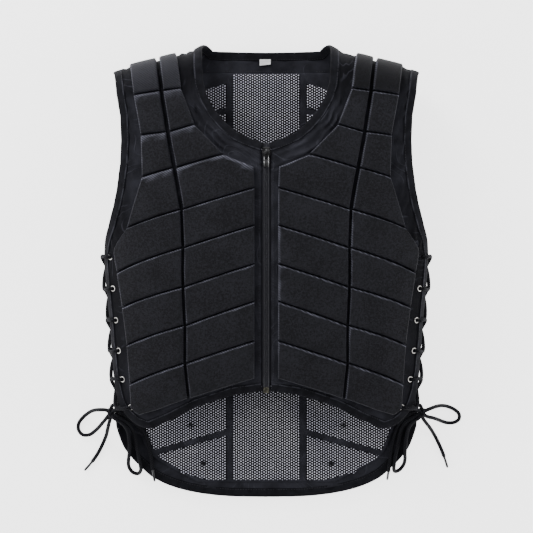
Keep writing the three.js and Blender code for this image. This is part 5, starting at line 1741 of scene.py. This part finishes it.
SLIDER_OUTLINE = (
    (-3.6, -6.4), (-2.4, -6.9), (2.4, -6.9), (3.6, -6.4), (4.9, -3), (5.7, 0.2), (5.5, 3.6),
    (4.9, 6.2), (3.6, 6.9), (-3.6, 6.9), (-4.9, 6.2), (-5.5, 3.6), (-5.7, 0.2), (-4.9, -3),
)
SLIDER_PLATES = ((0.8, 2.2), (-6.4, -5.0))  # bottom and top of the upper and the lower plate
# The slider's blocks between the plates: size, bevel and middle
SLIDER_BLOCKS = (
    ((3.6, 5.4, 7.6), 0.6, (0, 3.9, -2.1)),
    ((0.9, 6.8, 2.2), 0.3, (-4.7, 0.6, -0.1)),
    ((0.9, 6.8, 2.2), 0.3, (4.7, 0.6, -0.1)),
)
SLIDER_ARCH = (
    (0, -3.6, 1.7), (0, -3.6, 4.2), (0, -3.1, 5.2), (0, -2.1, 5.8), (0, 0, 6.0), (0, 2.1, 5.8),
    (0, 3.1, 5.2), (0, 3.6, 4.2), (0, 3.6, 1.7),
)
# The pull's flat rings, as (half width, low, high, corner radius) of the outline and of the opening
PULL_RING = (3.7, -20.5, 0.9, 1.5), (2.2, -8.6, -0.9, 0.8)
PULL_RIDGE = (2.2, -18.4, -10.6, 1.1), (1.3, -17.4, -11.6, 0.7)
PULL_HALF, RIDGE_HALF = 0.75, 0.95
RAIL_OUT, RAIL_LOW, RAIL_HIGH, RAIL_RADIUS = 3.0, -19.8, -5.0, 0.45


def pull_plate(outlines, half, bevel):
    outer, inner = (rounded_corners(*outline) for outline in outlines)
    return ring_plate(outer, inner, -half, half, bevel)


def make_slider():
    at = to_surface(0.0, SLIDER_Y)
    origin, normal = surface_point(FRONT, at), outward(FRONT, at)
    build = Build()
    for low, high in SLIDER_PLATES:
        placed(outline_prism(SLIDER_OUTLINE, low, high, 0.35), origin, normal, build)
    for size, bevel, middle in SLIDER_BLOCKS:
        verts, faces = rounded_block(size, bevel)
        placed((verts + middle, faces), origin, normal, build)
    tube(build, centripetal(carried(SLIDER_ARCH, origin, normal), 0.7), 0.95)
    build.piece("zip_slider", DARK_METAL, "zip_slider", smooth_faces=False)
    pivot = origin + normal * PIVOT_HEIGHT
    build = placed(pull_plate(PULL_RING, PULL_HALF, 0.25), pivot, normal, tilt=PULL_TILT)
    placed(pull_plate(PULL_RIDGE, RIDGE_HALF, 0.2), pivot, normal, build, PULL_TILT)
    build.piece("zip_pull", DARK_METAL, "zip_pull", PULL, smooth_faces=False)
    # Bright metal rails along the pull's edges stand for the glints on those edges: painted highlight
    rails = Build()
    for sign in (-1, 1):
        ends = [(sign * RAIL_OUT, y, PULL_HALF) for y in (RAIL_LOW, RAIL_HIGH)]
        tube(rails, carried(ends, pivot, normal, PULL_TILT), RAIL_RADIUS, 8)
    rails.piece("zip_pull_glint_rails", BRIGHT_METAL, None, PULL)


LABEL = (15.3, 8.0)
LABEL_MIDDLE = -1.6
LABEL_DROP = 0.8  # below the neck's edge
LABEL_LIFT = 1.9  # over the shell's inner face
LABEL_THICKNESS = 0.35
LABEL_SKEW = 0.012


def make_label():
    top = BACK_NECK[0][0] * LENGTH - LABEL_DROP
    columns, rows = 24, 14
    xs = np.linspace(-0.5, 0.5, columns) * LABEL[0] + LABEL_MIDDLE
    ys = np.linspace(top - LABEL[1], top, rows)
    skew = LABEL_SKEW * (xs - LABEL_MIDDLE)[None, :] * (top - ys)[:, None]
    grid = to_surface(np.broadcast_to(xs, (rows, columns)), ys[:, None] + skew)
    curl = 0.5 * ease(top - 3, top - LABEL[1], ys)[:, None] * (1 + 0.6 * np.sin(xs / 3))[None, :]
    face = -SHELL - LABEL_LIFT - curl
    build = layer(Build(), BACK, grid, face, face + LABEL_THICKNESS)
    build.piece("neck_label", SATIN, "neck_label")


ZIP_STITCH_OUT = ZIP_EDGE + 3.4
FACING_SEAM = 279.5
FACING_HALF = 82


def make_stitches(rows):
    """Threads on the bindings, beside the zip and along the neck's facing seam."""

    def row(face, at, depth, sign):
        place = offset_point(face, at, depth)
        return np.concatenate([place, sign * outward(face, at), np.gradient(place, axis=0)], axis=1)

    ys = np.arange(ZIP_BOTTOM + 16, ZIP_TOP - 4, STITCH_PITCH)
    xs = np.arange(-FACING_HALF, FACING_HALF, 3.4)
    rows = [rows, *(row(FRONT, to_surface(side * ZIP_STITCH_OUT, ys), 0.15, 1) for side in HANDS),
            row(BACK, to_surface(xs, FACING_SEAM), -SHELL - 0.9, -1)]
    thread = bead_tree("stitches", "GeometryNodeMeshIcoSphere", {"Subdivisions": 1},
                       Length=2.4, Width=0.55, Height=0.55)
    repeated("stitches", thread, np.concatenate(rows), THREAD)


def cloth_sheets():
    """Works out the points of every sheet of cloth on its surface, in metres; they are not used further."""

    def declare(face, grid):
        point = surface_point(face, grid) * MM

    ys = np.linspace(ZIP_BOTTOM, ZIP_TOP, 60)[:, None]
    for side, hand in HANDS.items():
        declare(FRONT, GRIDS[side])
        tape = to_surface(np.linspace(0, TAPE_HALF, 4)[None, :], ys)
        declare(FRONT, tape)
    declare(BACK, GRIDS["back"])
    declare(BACK, lining_grid(60))


set_camera()
make_strands()
set_stage()
make_shells()
make_blocks()
make_back_blocks()
make_lining()
make_stitches(make_bindings())
make_eyelets()
make_lacing()
make_zip()
make_slider()
make_label()
cloth_sheets()
